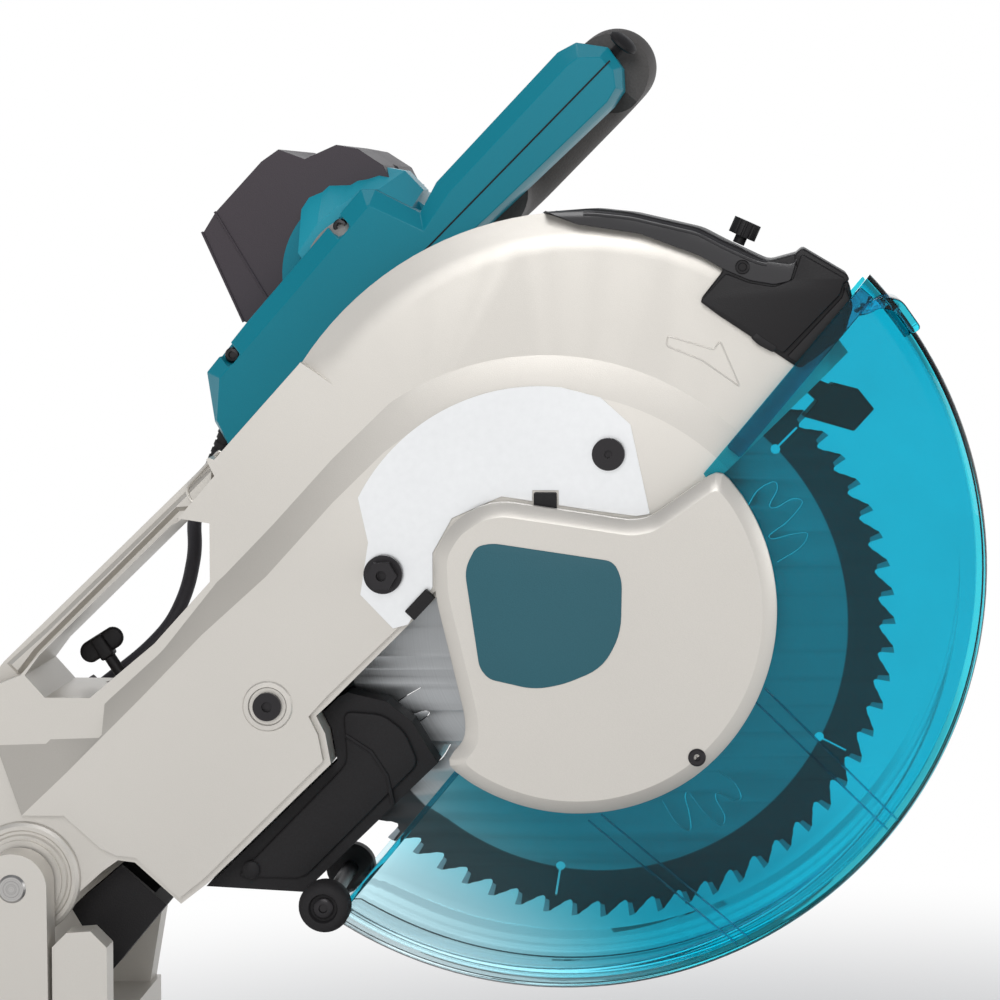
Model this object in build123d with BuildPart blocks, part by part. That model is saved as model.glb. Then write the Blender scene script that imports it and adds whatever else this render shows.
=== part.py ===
"""Sliding miter saw for 305 mm blades, with two slide stages, a tilting arm and a turntable.

Frame: +X towards the operator's side (the saw is pushed towards -X), +Y to the operator's right,
+Z up.  The origin lies on the turntable's axis, at the level that the feet stand on.
Everything on the saw head is drawn in planes parallel to the blade, with (x, z) counted from
the arbor's axis as it lies with the head raised.
"""
import os
from math import atan2, cos, degrees, pi, radians, sin

from build123d import *

os.makedirs("parts", exist_ok=True)

# ---------------------------------------------------------------- driving dimensions, millimetres
BLADE_D = 305.0
BLADE_R = BLADE_D / 2
BLADE_T = 2.6
TEETH = 64
TOOTH_DEPTH = 7.0
ARBOR_R = 12.7

TABLE_Z = 100.0
BLADE_X, BLADE_Z = -90.0, 422.0

PIVOT_X, PIVOT_Z = -283.0, -122.0
PIVOT_R = 7.0
FIT = 0.05
GAP = 0.3

CASE_NEAR, CASE_FAR = -38.0, 22.0
CASE_WALL = 4.0
CASE_ARC_X, CASE_ARC_Z, CASE_ARC_R = -5.0, 40.0, 168.0
PANEL_RISE = 3.0
HUB_NEAR, HUB_FAR = -43.0, 43.0

GUARD_X, GUARD_Z = -16.0, 34.0
GUARD_R, GUARD_RIM = 208.0, 3.5
GUARD_NEAR, GUARD_FAR, GUARD_WALL = -46.0, 27.0, 3.0
GUARD_CHORD = 23.7
GUARD_CHORD_ANGLE = 50.2
GUARD_INNER_R = 88.0
NEAR_HUB_R, FAR_HUB_R = 21.0, 78.0

ROLLER_X, ROLLER_Z, ROLLER_R = -131.0, -131.0, 12.7
ROLLER_PIN_R = 4.0

COVER_FACE, COVER_BACK = -56.0, -47.0

MOTOR_X, MOTOR_Z, MOTOR_R = -125.0, 175.0, 46.0
MOTOR_NEAR, MOTOR_FAR = 62.0, 188.0
SHAFT_R = 8.0
BIG_PULLEY_R, SMALL_PULLEY_R = 30.0, 15.0
BELT_NEAR, BELT_FAR, BELT_T = 38.0, 50.0, 4.0
DRIVE_NEAR, DRIVE_FAR = 30.0, 60.0

SHELL_NEAR, SHELL_SPLIT, SHELL_FAR = 28.5, 45.0, 61.5
SHELL_WALL, SHELL_BEVEL = 3.0, 2.0
GRIP_R = 20.5

TABLE_R, TABLE_T = 186.0, 10.0
RING_IN, RING_OUT, RING_TOP = 190.0, 198.0, 60.0
WING_X0, WING_X1, WING_Y1 = -95.0, 70.0, 310.0
ARM_X1, ARM_HALF = 300.0, 42.0
SLOT_HALF, BOARD_HALF, LEDGE, SPINE_HALF = 9.5, 22.0, 14.0, 20.0
FENCE_T, FENCE_TOP, LOW_FENCE_TOP, TALL_FENCE_TOP = 10.0, 145.0, 130.0, 180.0
BOLT_SPACING_X, BOLT_SPACING_Y, BOLT_HOLE_R = 260.0, 460.0, 4.5

LOWER_RAIL_R, LOWER_RAIL_Y, LOWER_RAIL_Z = 15.0, 45.0, 53.0
UPPER_RAIL_R, UPPER_RAIL_Y, UPPER_RAIL_Z = 13.0, 40.0, 205.0
BEVEL_Z = TABLE_Z
MITER_MAX = 52.0
RAIL_ROOM = LOWER_RAIL_Y + LOWER_RAIL_R + 3.0
CLEVIS_NEAR, CLEVIS_IN = 60.0, 45.0


# ------------------------------------------------------------------------------ drawing helpers
def side(y):
    """A plane parallel to the blade at depth y; its axes run along +X and +Z from the arbor."""
    return Plane(origin=(BLADE_X, y, BLADE_Z), x_dir=(1, 0, 0), z_dir=(0, -1, 0))


def slab(points, near, far, mode=Mode.ADD):
    """A straight-sided outline on the head, as thick as from depth near to depth far."""
    with BuildSketch(side(far)) as profile:
        with BuildLine():
            Polyline(*points, close=True)
        make_face()
    extrude(profile.sketch, amount=far - near, mode=mode)


def disc(x, z, radius, near, far, mode=Mode.ADD):
    """A round boss or hole across the head, from depth near to depth far."""
    with BuildSketch(side(far)) as profile:
        with Locations((x, z)):
            Circle(radius)
    extrude(profile.sketch, amount=far - near, mode=mode)


def block(x0, x1, y0, y1, z0, z1, mode=Mode.ADD):
    """A plain box given by its limits in the saw's frame."""
    with Locations(((x0 + x1) / 2, (y0 + y1) / 2, (z0 + z1) / 2)):
        Box(x1 - x0, y1 - y0, z1 - z0, mode=mode)


def post(x, y, radius, z0, z1, mode=Mode.ADD):
    """An upright cylinder."""
    with Locations((x, y, (z0 + z1) / 2)):
        Cylinder(radius, z1 - z0, mode=mode)


def bar(y, z, radius, x0, x1, mode=Mode.ADD):
    """A cylinder that lies along X."""
    with Locations(Location(((x0 + x1) / 2, y, z), (0, 90, 0))):
        Cylinder(radius, x1 - x0, mode=mode)


def crossbar(x, z, radius, y0, y1, mode=Mode.ADD):
    """A cylinder that lies along Y, placed in the saw's frame."""
    with Locations(Location((x, (y0 + y1) / 2, z), (90, 0, 0))):
        Cylinder(radius, y1 - y0, mode=mode)


def polar(x, z, radius, angle):
    """A point at a distance and angle from x, z, the angle counted from +X towards +Z."""
    return (x + radius * cos(radians(angle)), z + radius * sin(radians(angle)))


def write(part, name):
    """Label a finished piece and write it as its own STEP file."""
    part.label = name
    export_step(part, f"parts/{name}.step")


# ------------------------------------------------------------------------- upper blade case, arm
TOP_LEFT = (-145.0, 133.0)
CHORD_RIGHT = (125.0, 140.0)
CASE_TOP = (CASE_ARC_X, CASE_ARC_Z + CASE_ARC_R)
REAR_OUTLINE = [(-187.0, 86.0), (-190.0, 87.0), (-297.0, -17.0), (-320.0, -46.0), (-320.0, -122.0)]
BELOW_PIVOT = [(-309.0, -147.0), (-278.0, -148.0), (-263.0, -135.5)]
LOWER_EDGE = [(-243.6, -118.0), (-236.0, -112.6), (-227.6, -113.6), (-204.7, -134.0), (-191.0, -123.3),
              (-130.0, -64.0), (-132.8, -49.0), (-137.2, -40.2), (-129.9, -33.4), (-88.0, 8.4),
              (-74.5, 21.5)]
UNDER_COVER = [(-64.0, 0.0), (-55.0, -40.0), (-6.0, -62.0), (36.0, -34.0), (34.0, 51.0)]


def case_outline(near, far, mode=Mode.ADD):
    """The whole outline of the upper blade case with its arm."""
    with BuildSketch(side(far)) as profile:
        with BuildLine():
            ThreePointArc(TOP_LEFT, CASE_TOP, CHORD_RIGHT)
            Polyline(TOP_LEFT, *REAR_OUTLINE, *BELOW_PIVOT, *LOWER_EDGE, *UNDER_COVER, CHORD_RIGHT)
        make_face()
    extrude(profile.sketch, amount=far - near, mode=mode)


CARRY_OPENING = [(-205.0, 57.0), (-189.5, 54.6), (-189.5, 25.8), (-217.3, -5.0), (-249.5, -32.0),
                 (-271.9, -32.0), (-281.8, -21.0), (-274.4, -11.0)]
ARM_POCKET = [(-165.0, -34.0), (-150.0, 0.0), (-182.0, 40.0), (-186.0, 20.0), (-214.0, -10.0),
              (-246.0, -38.0), (-258.0, -42.0), (-262.0, -60.0), (-238.0, -104.0), (-204.0, -122.0),
              (-140.0, -62.0)]
PANEL_OUTLINE = [(-84.0, 102.0), (-103.0, 89.0), (-128.0, 64.0), (-161.0, 28.0), (-193.0, -2.0),
                 (-220.0, -30.0), (-258.0, -68.0), (-262.0, -88.0), (-244.0, -106.0), (-236.0, -109.0),
                 (-226.0, -110.0), (-205.0, -130.0), (-192.0, -119.0), (-134.0, -62.0), (-136.5, -49.0),
                 (-141.0, -40.0), (-132.0, -29.0), (-92.0, 10.0), (-78.0, 24.0), (-80.0, 60.0)]
SHOULDER_IN, SHOULDER_DEPTH = 148.0, -30.0
POCKET_STEP = -22.0
CARRY_BAR = [(-196.0, 96.0), (-187.0, 78.0), (-206.0, 56.0), (-276.0, -12.0), (-284.0, -21.0),
             (-330.0, -40.0), (-330.0, 0.0)]
SHOULDER_FROM, SHOULDER_TO = 36.0, 146.0
STOP_HOLE = (-244.0, -99.5)
STOP_PIN = (-238.0, -124.4)
STOP_PIN_R = 4.5
WING_SCREW = (-259.0, -17.0)
WING_SCREW_Y = 10.0
WING_SCREW_TILT = 57.0
WING_STEM_R = 3.0

with BuildPart() as upper_case:
    case_outline(CASE_NEAR, CASE_FAR)
    slab(PANEL_OUTLINE, CASE_NEAR - PANEL_RISE, CASE_NEAR)
    slab(CARRY_OPENING, CASE_NEAR, CASE_FAR, Mode.SUBTRACT)
    # The carry handle is a bar thinner than the case.
    slab(CARRY_BAR, CASE_NEAR, -20.0, Mode.SUBTRACT)
    slab(CARRY_BAR, 6.0, CASE_FAR, Mode.SUBTRACT)
    # Inside of the case: a pocket for the blade, open along the chord, and a lighter arm.
    for radius, near, far in ((CASE_ARC_R - 5.0, POCKET_STEP, CASE_FAR - CASE_WALL),
                              (CASE_ARC_R - 20.5, CASE_NEAR + CASE_WALL, POCKET_STEP)):
        with BuildSketch(side(far)) as pocket:
            with Locations((CASE_ARC_X, CASE_ARC_Z)):
                Circle(radius)
            with BuildLine():
                Polyline((-82.0, 20.0), (-60.0, 110.0), (-125.0, 150.0), (-60.0, 260.0), (260.0, 260.0),
                         (260.0, -200.0), (-40.0, -200.0), (-150.0, -110.0), (-136.0, -30.0), close=True)
            make_face(mode=Mode.INTERSECT)
        extrude(pocket.sketch, amount=far - near, mode=Mode.SUBTRACT)
    disc(0, 0, BLADE_R + 5.0, -12.0, 12.0, Mode.SUBTRACT)
    slab(ARM_POCKET, CASE_NEAR + CASE_WALL, CASE_FAR - CASE_WALL, Mode.SUBTRACT)
    # Hub that the head swings on, with a thin far boss for the return spring.
    disc(PIVOT_X, PIVOT_Z, 20.0, HUB_NEAR, CASE_NEAR)
    disc(PIVOT_X, PIVOT_Z, 14.0, CASE_FAR, HUB_FAR)
    disc(PIVOT_X, PIVOT_Z, PIVOT_R + FIT, HUB_NEAR, HUB_FAR, Mode.SUBTRACT)
    # Hubs that the lower guard turns on, and the openings for the arbor and its bolt.
    disc(GUARD_X, GUARD_Z, FAR_HUB_R, CASE_FAR - CASE_WALL, DRIVE_NEAR)
    disc(GUARD_X, GUARD_Z, NEAR_HUB_R, COVER_BACK, CASE_NEAR + CASE_WALL)
    disc(0, 0, 20.0, CASE_FAR - CASE_WALL, DRIVE_NEAR, Mode.SUBTRACT)
    disc(0, 0, 16.0, COVER_BACK, CASE_NEAR + CASE_WALL, Mode.SUBTRACT)
    disc(STOP_HOLE[0], STOP_HOLE[1], STOP_PIN_R + 0.5, 12.0, CASE_FAR, Mode.SUBTRACT)
    disc(-103.0, 30.6, 3.5, CASE_NEAR - PANEL_RISE, CASE_NEAR + CASE_WALL, Mode.SUBTRACT)
    # A threaded seat for the wing screw in the arm's upper edge.
    screw_axis = Plane(origin=(BLADE_X + WING_SCREW[0], WING_SCREW_Y, BLADE_Z + WING_SCREW[1]),
                       x_dir=(0, 1, 0),
                       z_dir=(cos(radians(WING_SCREW_TILT)), 0, -sin(radians(WING_SCREW_TILT))))
    with BuildSketch(screw_axis) as wing_seat:
        Circle(WING_STEM_R + FIT)
    extrude(wing_seat.sketch, amount=32.0, mode=Mode.SUBTRACT)
    # The case's shoulder slopes away from the near face towards its round edge.
    shoulder_start = radians(SHOULDER_FROM)
    case_centre = (BLADE_X + CASE_ARC_X, 0, BLADE_Z + CASE_ARC_Z)
    with BuildSketch(Plane(origin=case_centre, x_dir=(cos(shoulder_start), 0, sin(shoulder_start)),
                           z_dir=(-sin(shoulder_start), 0, cos(shoulder_start)))) as shoulder:
        with BuildLine():
            Polyline((SHOULDER_IN, CASE_NEAR - 0.1), (CASE_ARC_R + 3, CASE_NEAR - 0.1),
                     (CASE_ARC_R + 3, SHOULDER_DEPTH), close=True)
        make_face()
    revolve(shoulder.sketch, Axis(case_centre, (0, -1, 0)), revolution_arc=SHOULDER_TO - SHOULDER_FROM,
            mode=Mode.SUBTRACT)
write(upper_case.part, "upper_case")

# ------------------------------------------------------------------------- centre cover and trim
COVER_ARC_START, COVER_ARC_TOP = (62.0, 84.0), (89.5, 10.0)
COVER_ARC_LOW, COVER_ARC_BOTTOM, COVER_ARC_END = (50.0, -66.0), (4.0, -84.0), (-72.5, -60.4)
COVER_INNER = [(-61.9, -48.4), (-62.0, -38.0), (-76.3, 21.3), (-77.3, 42.0), (-69.0, 56.0),
               (-55.7, 65.0), (-43.6, 67.4), (-0.4, 61.2), (18.8, 58.3), (27.5, 59.7)]

with BuildPart() as centre_cover:
    with BuildSketch(side(COVER_BACK)) as cover_sketch:
        with BuildLine():
            ThreePointArc(COVER_ARC_START, COVER_ARC_TOP, COVER_ARC_LOW)
            ThreePointArc(COVER_ARC_LOW, COVER_ARC_BOTTOM, COVER_ARC_END)
            Polyline(COVER_ARC_END, *COVER_INNER, COVER_ARC_START)
        make_face()
    extrude(cover_sketch.sketch, amount=COVER_BACK - COVER_FACE)
    front_edges = centre_cover.faces().sort_by(Axis.Y)[0].edges()
    chamfer(front_edges, 4.0, 7.0)
    disc(51.0, -56.0, 4.1, COVER_FACE, COVER_BACK - 3.0, Mode.SUBTRACT)
    insert_outline = [(-61.6, 34.8), (-58.0, 45.0), (-50.0, 48.0), (10.9, 39.0), (14.7, 27.6), (13.7, 3.8),
                      (5.2, -12.9), (-13.9, -21.0), (-28.2, -23.4), (-53.0, -17.7)]
    slab(insert_outline, COVER_FACE, COVER_FACE + 2.0, Mode.SUBTRACT)
write(centre_cover.part, "centre_cover")

with BuildPart() as cover_insert:
    slab(insert_outline, COVER_FACE - 0.6, COVER_FACE + 2.0)
    fillet(cover_insert.edges().filter_by(Axis.Y), 2.0)
write(cover_insert.part, "cover_insert")

PLATE_NEAR = CASE_NEAR - PANEL_RISE - 1.0
with BuildPart() as link_plate:
    with BuildSketch(side(CASE_NEAR - PANEL_RISE)) as plate_sketch:
        with BuildLine():
            ThreePointArc((-115.5, 67.9), (-79.1, 107.7), (-16.0, 122.3))
            Polyline((-16.0, 122.3), (3.4, 117.4), (18.0, 104.3), (27.5, 60.5), (20.9, 59.5), (-0.4, 62.2),
                     (-45.0, 68.9), (-69.4, 58.2), (-79.0, 41.0), (-79.0, 24.2), (-91.2, 5.8), (-98.5, 3.8),
                     (-114.5, 20.3), (-110.6, 46.0), (-115.5, 67.9))
        make_face()
    extrude(plate_sketch.sketch, amount=1.0)
    disc(7.4, 89.9, 4.0, PLATE_NEAR, CASE_NEAR, Mode.SUBTRACT)
    disc(-103.0, 30.6, 3.5, PLATE_NEAR, CASE_NEAR, Mode.SUBTRACT)
    slab([(-30.0, 60.0), (-30.0, 72.0), (-17.0, 72.0), (-17.0, 60.0)], PLATE_NEAR, CASE_NEAR, Mode.SUBTRACT)
write(link_plate.part, "link_plate")

with BuildPart() as guard_bumpers:
    slab([(-29.0, 61.0), (-29.0, 71.0), (-18.0, 71.0), (-18.0, 61.0)], -45.5, CASE_NEAR)
    with BuildSketch(side(CASE_NEAR - PANEL_RISE - 1.0)) as lower_bumper:
        with Locations(Location((-84.8, 16.0, 0), (0, 0, 47))):
            Rectangle(15.0, 6.5)
    extrude(lower_bumper.sketch, amount=4.0)
write(guard_bumpers.part, "guard_bumpers")


def hex_bolt(x, z, near, length, across, shank_r, washer_r, socket_r):
    """A flanged hex bolt whose head starts at depth near and whose shank runs away from it."""
    head = across * 0.45
    with BuildSketch(side(near + head)) as hexagon:
        with Locations((x, z)):
            RegularPolygon(across / 2, 6, major_radius=False)
    extrude(hexagon.sketch, amount=head)
    disc(x, z, washer_r, near + head, near + head + 1.5)
    disc(x, z, shank_r, near + head + 1.5, near + length)
    disc(x, z, socket_r, near, near + head * 0.7, Mode.SUBTRACT)


with BuildPart() as case_bolts:
    hex_bolt(-103.0, 30.6, -51.0, 17.0, 13.0, 3.45, 9.5, 2.6)
    disc(7.4, 89.9, 8.0, -45.6, PLATE_NEAR)
    disc(7.4, 89.9, 3.95, PLATE_NEAR, CASE_NEAR)
    disc(7.4, 89.9, 2.0, -45.6, -43.5, Mode.SUBTRACT)
    disc(-160.6, -35.0, 7.0, -44.0, CASE_NEAR - PANEL_RISE)
    disc(-160.6, -35.0, 2.6, -44.0, -41.8, Mode.SUBTRACT)
    disc(51.0, -56.0, 4.0, COVER_FACE + 1.0, COVER_BACK - 3.0)
write(case_bolts.part, "case_bolts")

# ------------------------------------------------------------------------------- blade and arbor
PITCH = 360.0 / TEETH
TOOTH_ROOT = BLADE_R - TOOTH_DEPTH
tooth_points = []
for tooth in range(TEETH):
    start = tooth * PITCH
    tooth_points += [polar(0, 0, TOOTH_ROOT, start), polar(0, 0, BLADE_R, start + PITCH * 0.08),
                     polar(0, 0, BLADE_R - 1.5, start + PITCH * 0.34),
                     polar(0, 0, TOOTH_ROOT + 1.0, start + PITCH * 0.80)]

with BuildPart() as saw_blade:
    slab(tooth_points, -BLADE_T / 2, BLADE_T / 2)
    disc(0, 0, ARBOR_R + 0.02, -BLADE_T, BLADE_T, Mode.SUBTRACT)
write(saw_blade.part, "saw_blade")

LOCK_HOLE_RADIUS, LOCK_PIN_R = 20.0, 3.5
LOCK_SPOT = polar(0, 0, LOCK_HOLE_RADIUS, 45)
with BuildPart() as arbor:
    disc(0, 0, ARBOR_R, -BLADE_T / 2, 12.0)
    disc(0, 0, 10.0, 12.0, 57.0)
    disc(0, 0, 5.0, -10.0, 0.0, Mode.SUBTRACT)
    disc(0, 0, BIG_PULLEY_R, BELT_NEAR, BELT_FAR)
    disc(0, 0, BIG_PULLEY_R + 3.0, BELT_NEAR - 2.0, BELT_NEAR)
    for turn in range(4):
        hole_x, hole_z = polar(0, 0, LOCK_HOLE_RADIUS, 45 + 90 * turn)
        disc(hole_x, hole_z, 5.0, BELT_NEAR - 2.0, BELT_FAR, Mode.SUBTRACT)
write(arbor.part, "arbor")

with BuildPart() as blade_flanges:
    disc(0, 0, 32.0, BLADE_T / 2, BLADE_T / 2 + 8.0)
    disc(0, 0, ARBOR_R + 0.02, 0, 12.0, Mode.SUBTRACT)
    disc(0, 0, 24.0, BLADE_T / 2, BLADE_T / 2 + 1.5, Mode.SUBTRACT)
    disc(0, 0, 29.0, -BLADE_T / 2 - 6.0, -BLADE_T / 2)
    disc(0, 0, 5.05, -10.0, 0, Mode.SUBTRACT)
    disc(0, 0, 22.0, -BLADE_T / 2 - 1.5, -BLADE_T / 2, Mode.SUBTRACT)
write(blade_flanges.part, "blade_flanges")

with BuildPart() as blade_bolt:
    with BuildSketch(side(-BLADE_T / 2 - 6.0)) as bolt_head:
        RegularPolygon(8.5, 6, major_radius=False)
    extrude(bolt_head.sketch, amount=8.0)
    disc(0, 0, 11.0, -BLADE_T / 2 - 8.0, -BLADE_T / 2 - 6.0)
    disc(0, 0, 4.95, -BLADE_T / 2 - 6.0, -0.05)
write(blade_bolt.part, "blade_bolt")

# ------------------------------------------------------------------------------------ lower guard
CHORD_DIR = (cos(radians(GUARD_CHORD_ANGLE)), sin(radians(GUARD_CHORD_ANGLE)))
CHORD_NORMAL = (CHORD_DIR[1], -CHORD_DIR[0])


def chord_point(along, into):
    """A point along the guard's straight edge, moved square to it towards the guard's inside."""
    return (GUARD_X + CHORD_DIR[0] * along + CHORD_NORMAL[0] * (GUARD_CHORD + into),
            GUARD_Z + CHORD_DIR[1] * along + CHORD_NORMAL[1] * (GUARD_CHORD + into))


def guard_half(near, far, outer, inner, mode=Mode.ADD):
    """The part of a ring about the guard's pivot that lies past its straight edge."""
    with BuildSketch(side(far)) as profile:
        with Locations((GUARD_X, GUARD_Z)):
            Circle(outer)
            if inner:
                Circle(inner, mode=Mode.SUBTRACT)
        with BuildLine():
            Polyline(chord_point(-260, 0), chord_point(-260, 300), chord_point(260, 300),
                     chord_point(260, 0), close=True)
        make_face(mode=Mode.INTERSECT)
    extrude(profile.sketch, amount=far - near, mode=mode)


with BuildPart() as lower_guard:
    guard_half(GUARD_NEAR, GUARD_FAR, GUARD_R, GUARD_INNER_R)
    guard_half(GUARD_NEAR + GUARD_WALL, GUARD_FAR - GUARD_WALL, GUARD_R - GUARD_RIM, 0, Mode.SUBTRACT)
    # A spoke under the centre cover ties the near wall to its hub ring.
    with BuildSketch(side(GUARD_NEAR + GUARD_WALL)) as spoke:
        with Locations((GUARD_X, GUARD_Z)):
            Circle(GUARD_INNER_R + 2.0)
            Circle(NEAR_HUB_R + 0.3, mode=Mode.SUBTRACT)
        with BuildLine():
            Polyline((GUARD_X, GUARD_Z), polar(GUARD_X, GUARD_Z, 140, 237), polar(GUARD_X, GUARD_Z, 140, 270),
                     close=True)
        make_face(mode=Mode.INTERSECT)
    extrude(spoke.sketch, amount=GUARD_WALL)
    disc(GUARD_X, GUARD_Z, NEAR_HUB_R + 5.0, GUARD_NEAR, GUARD_NEAR + GUARD_WALL)
    disc(GUARD_X, GUARD_Z, NEAR_HUB_R + FIT, GUARD_NEAR, GUARD_NEAR + GUARD_WALL, Mode.SUBTRACT)
    # The far wall turns on a wide ring about the drive housing.
    disc(GUARD_X, GUARD_Z, GUARD_INNER_R + 2.0, GUARD_FAR - GUARD_WALL, GUARD_FAR)
    disc(GUARD_X, GUARD_Z, FAR_HUB_R + FIT, GUARD_FAR - GUARD_WALL, GUARD_FAR, Mode.SUBTRACT)
    # Lug at the lower end for the roller's pin.
    disc(ROLLER_X, ROLLER_Z, 8.0, GUARD_NEAR, GUARD_FAR)
    disc(ROLLER_X, ROLLER_Z, ROLLER_PIN_R + 0.02, GUARD_NEAR, GUARD_FAR, Mode.SUBTRACT)
write(lower_guard.part, "lower_guard")

with BuildPart() as roller_pin:
    disc(ROLLER_X, ROLLER_Z, ROLLER_PIN_R, -58.0, 39.0)
write(roller_pin.part, "roller_pin")

with BuildPart() as guard_rollers:
    for near, far in ((-58.0, GUARD_NEAR - GAP), (GUARD_FAR + GAP, 39.0)):
        disc(ROLLER_X, ROLLER_Z, ROLLER_R, near, far)
        disc(ROLLER_X, ROLLER_Z, ROLLER_PIN_R + FIT, near, far, Mode.SUBTRACT)
    fillet(guard_rollers.edges().filter_by(lambda e: abs(e.radius - ROLLER_R) < 0.1 if
                                           e.geom_type == GeomType.CIRCLE else False), 2.0)
write(guard_rollers.part, "guard_rollers")

# ------------------------------------------------------------- laser unit, duct and dust boot
with BuildPart() as laser_housing:
    slab([(-26.3, 207.6), (-9.6, 199.0), (22.2, 196.0), (51.5, 184.0), (63.8, 178.3), (51.5, 164.5),
          (60.0, 158.0), (85.8, 141.0), (101.0, 131.0), (122.0, 149.0), (128.0, 162.0), (125.0, 176.0),
          (101.5, 189.0), (84.8, 184.0), (63.8, 194.0), (51.5, 200.5), (18.3, 208.0), (-0.8, 210.0)],
         -41.0, CASE_FAR)
    case_outline(CASE_NEAR, CASE_FAR, Mode.SUBTRACT)
    disc(0, 0, BLADE_R + 4.0, -10.0, CASE_FAR, Mode.SUBTRACT)
write(laser_housing.part, "laser_housing")

KNOB_PLANE = Plane(origin=(BLADE_X + 70.0, -16.0, BLADE_Z + 192.0), x_dir=(0, 1, 0),
                   z_dir=(sin(radians(24)), 0, cos(radians(24))))
with BuildPart() as laser_knob:
    with BuildSketch(KNOB_PLANE) as knob_stem:
        Circle(3.0)
    extrude(knob_stem.sketch, amount=4.0)
    with BuildSketch(KNOB_PLANE.offset(4.0)) as knob_head:
        Circle(7.0)
        with PolarLocations(7.4, 12):
            Circle(0.9, mode=Mode.SUBTRACT)
    extrude(knob_head.sketch, amount=8.0)
write(laser_knob.part, "laser_knob")

with BuildPart() as laser_module:
    slab([(103.0, 108.0), (118.0, 125.0), (130.0, 122.0), (138.0, 112.0), (128.0, 101.0)], -33.0, -8.0)
    slab([(99.0, 125.0), (104.0, 129.0), (121.0, 122.0), (112.0, 114.0)], -33.0, -10.0)
write(laser_module.part, "laser_module")

BOOT_OUTLINE = [(-128.5, -33.5), (-123.8, -31.0), (-104.1, -35.5), (-91.8, -45.3), (-79.0, -66.0),
                (-146.0, -131.0), (-195.0, -128.5), (-190.0, -124.5), (-129.0, -65.0), (-131.8, -49.0),
                (-136.0, -41.0)]
DUCT_OUTLINE = [(-264.0, -141.0), (-238.7, -119.5), (-216.0, -139.0), (-244.6, -173.5)]
with BuildPart() as dust_ducting:
    slab(BOOT_OUTLINE, -24.0, 16.0)
    slab([(-122.0, -38.0), (-104.0, -40.0), (-84.0, -66.0), (-146.0, -127.0), (-176.0, -124.0),
          (-118.0, -66.0)], -20.0, 12.0, Mode.SUBTRACT)
    disc(0, 0, BLADE_R + 3.0, -8.0, 8.0, Mode.SUBTRACT)
    slab(DUCT_OUTLINE, -20.0, 12.0)
    slab([(-258.0, -147.0), (-236.0, -112.0), (-222.0, -134.0), (-250.0, -182.0)], -17.0, 9.0, Mode.SUBTRACT)
write(dust_ducting.part, "dust_ducting")

# ------------------------------------------------------------------------------- belt drive
def belt_loop(extra, near, far, mode=Mode.ADD):
    """The shape that a belt makes round the two pulleys, swollen by extra all round."""
    with BuildSketch(side(far)) as profile:
        make_hull(Sketch([Pos(0, 0) * Circle(BIG_PULLEY_R + extra),
                          Pos(MOTOR_X, MOTOR_Z) * Circle(SMALL_PULLEY_R + extra)]).edges())
    extrude(profile.sketch, amount=far - near, mode=mode)


with BuildPart() as drive_housing:
    belt_loop(16.0, DRIVE_NEAR, DRIVE_FAR - 4.0)
    disc(GUARD_X, GUARD_Z, FAR_HUB_R - 6.0, DRIVE_NEAR, DRIVE_NEAR + 6.0)
    belt_loop(10.0, DRIVE_NEAR + 4.0, DRIVE_FAR, Mode.SUBTRACT)
    disc(0, 0, 20.0, DRIVE_NEAR - 2.0, DRIVE_NEAR + 5.0, Mode.SUBTRACT)
write(drive_housing.part, "drive_housing")

with BuildPart() as drive_cover:
    belt_loop(16.0, DRIVE_FAR - 4.0, DRIVE_FAR)
    disc(0, 0, 21.0, DRIVE_FAR - 8.0, DRIVE_FAR - 4.0)
    disc(0, 0, 15.0, DRIVE_FAR - 8.0, DRIVE_FAR - 1.0, Mode.SUBTRACT)
    disc(MOTOR_X, MOTOR_Z, 15.0, DRIVE_FAR - 4.0, DRIVE_FAR, Mode.SUBTRACT)
    disc(*LOCK_SPOT, LOCK_PIN_R + FIT, DRIVE_FAR - 8.0, DRIVE_FAR, Mode.SUBTRACT)
write(drive_cover.part, "drive_cover")

with BuildPart() as drive_belt:
    belt_loop(BELT_T + GAP, BELT_NEAR + 0.5, BELT_FAR)
    belt_loop(GAP, BELT_NEAR + 0.5, BELT_FAR, Mode.SUBTRACT)
write(drive_belt.part, "drive_belt")

with BuildPart() as shaft_lock_button:
    disc(*LOCK_SPOT, LOCK_PIN_R, 53.5, 66.0)
    disc(*LOCK_SPOT, 8.0, 66.0, 72.0)
    fillet(shaft_lock_button.edges().filter_by(GeomType.CIRCLE).sort_by(Axis.Y)[-1], 1.5)
write(shaft_lock_button.part, "shaft_lock_button")

# -------------------------------------------------------------------------------------- motor
with BuildPart() as rotor:
    disc(MOTOR_X, MOTOR_Z, SHAFT_R - 2.0, BELT_NEAR - 2.0, 54.0)
    disc(MOTOR_X, MOTOR_Z, SMALL_PULLEY_R, BELT_NEAR, BELT_FAR)
    disc(MOTOR_X, MOTOR_Z, SHAFT_R, 54.0, 180.0)
    disc(MOTOR_X, MOTOR_Z, 25.0, 88.0, 145.0)
    disc(MOTOR_X, MOTOR_Z, 14.0, 145.0, 163.0)
    # The cooling fan is moulded on the shaft.
    disc(MOTOR_X, MOTOR_Z, 12.0, 67.0, 80.0)
    disc(MOTOR_X, MOTOR_Z, 38.0, 67.0, 69.0)
    for blade_number in range(12):
        with BuildSketch(side(80.0)) as vane:
            with Locations((MOTOR_X, MOTOR_Z)):
                with PolarLocations(24.0, 1, start_angle=30 * blade_number):
                    Rectangle(26.0, 1.6)
        extrude(vane.sketch, amount=12.0)
write(rotor.part, "rotor")

with BuildPart() as stator:
    disc(MOTOR_X, MOTOR_Z, 41.0, 90.0, 143.0)
    disc(MOTOR_X, MOTOR_Z, 26.0, 90.0, 143.0, Mode.SUBTRACT)
write(stator.part, "stator")

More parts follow.
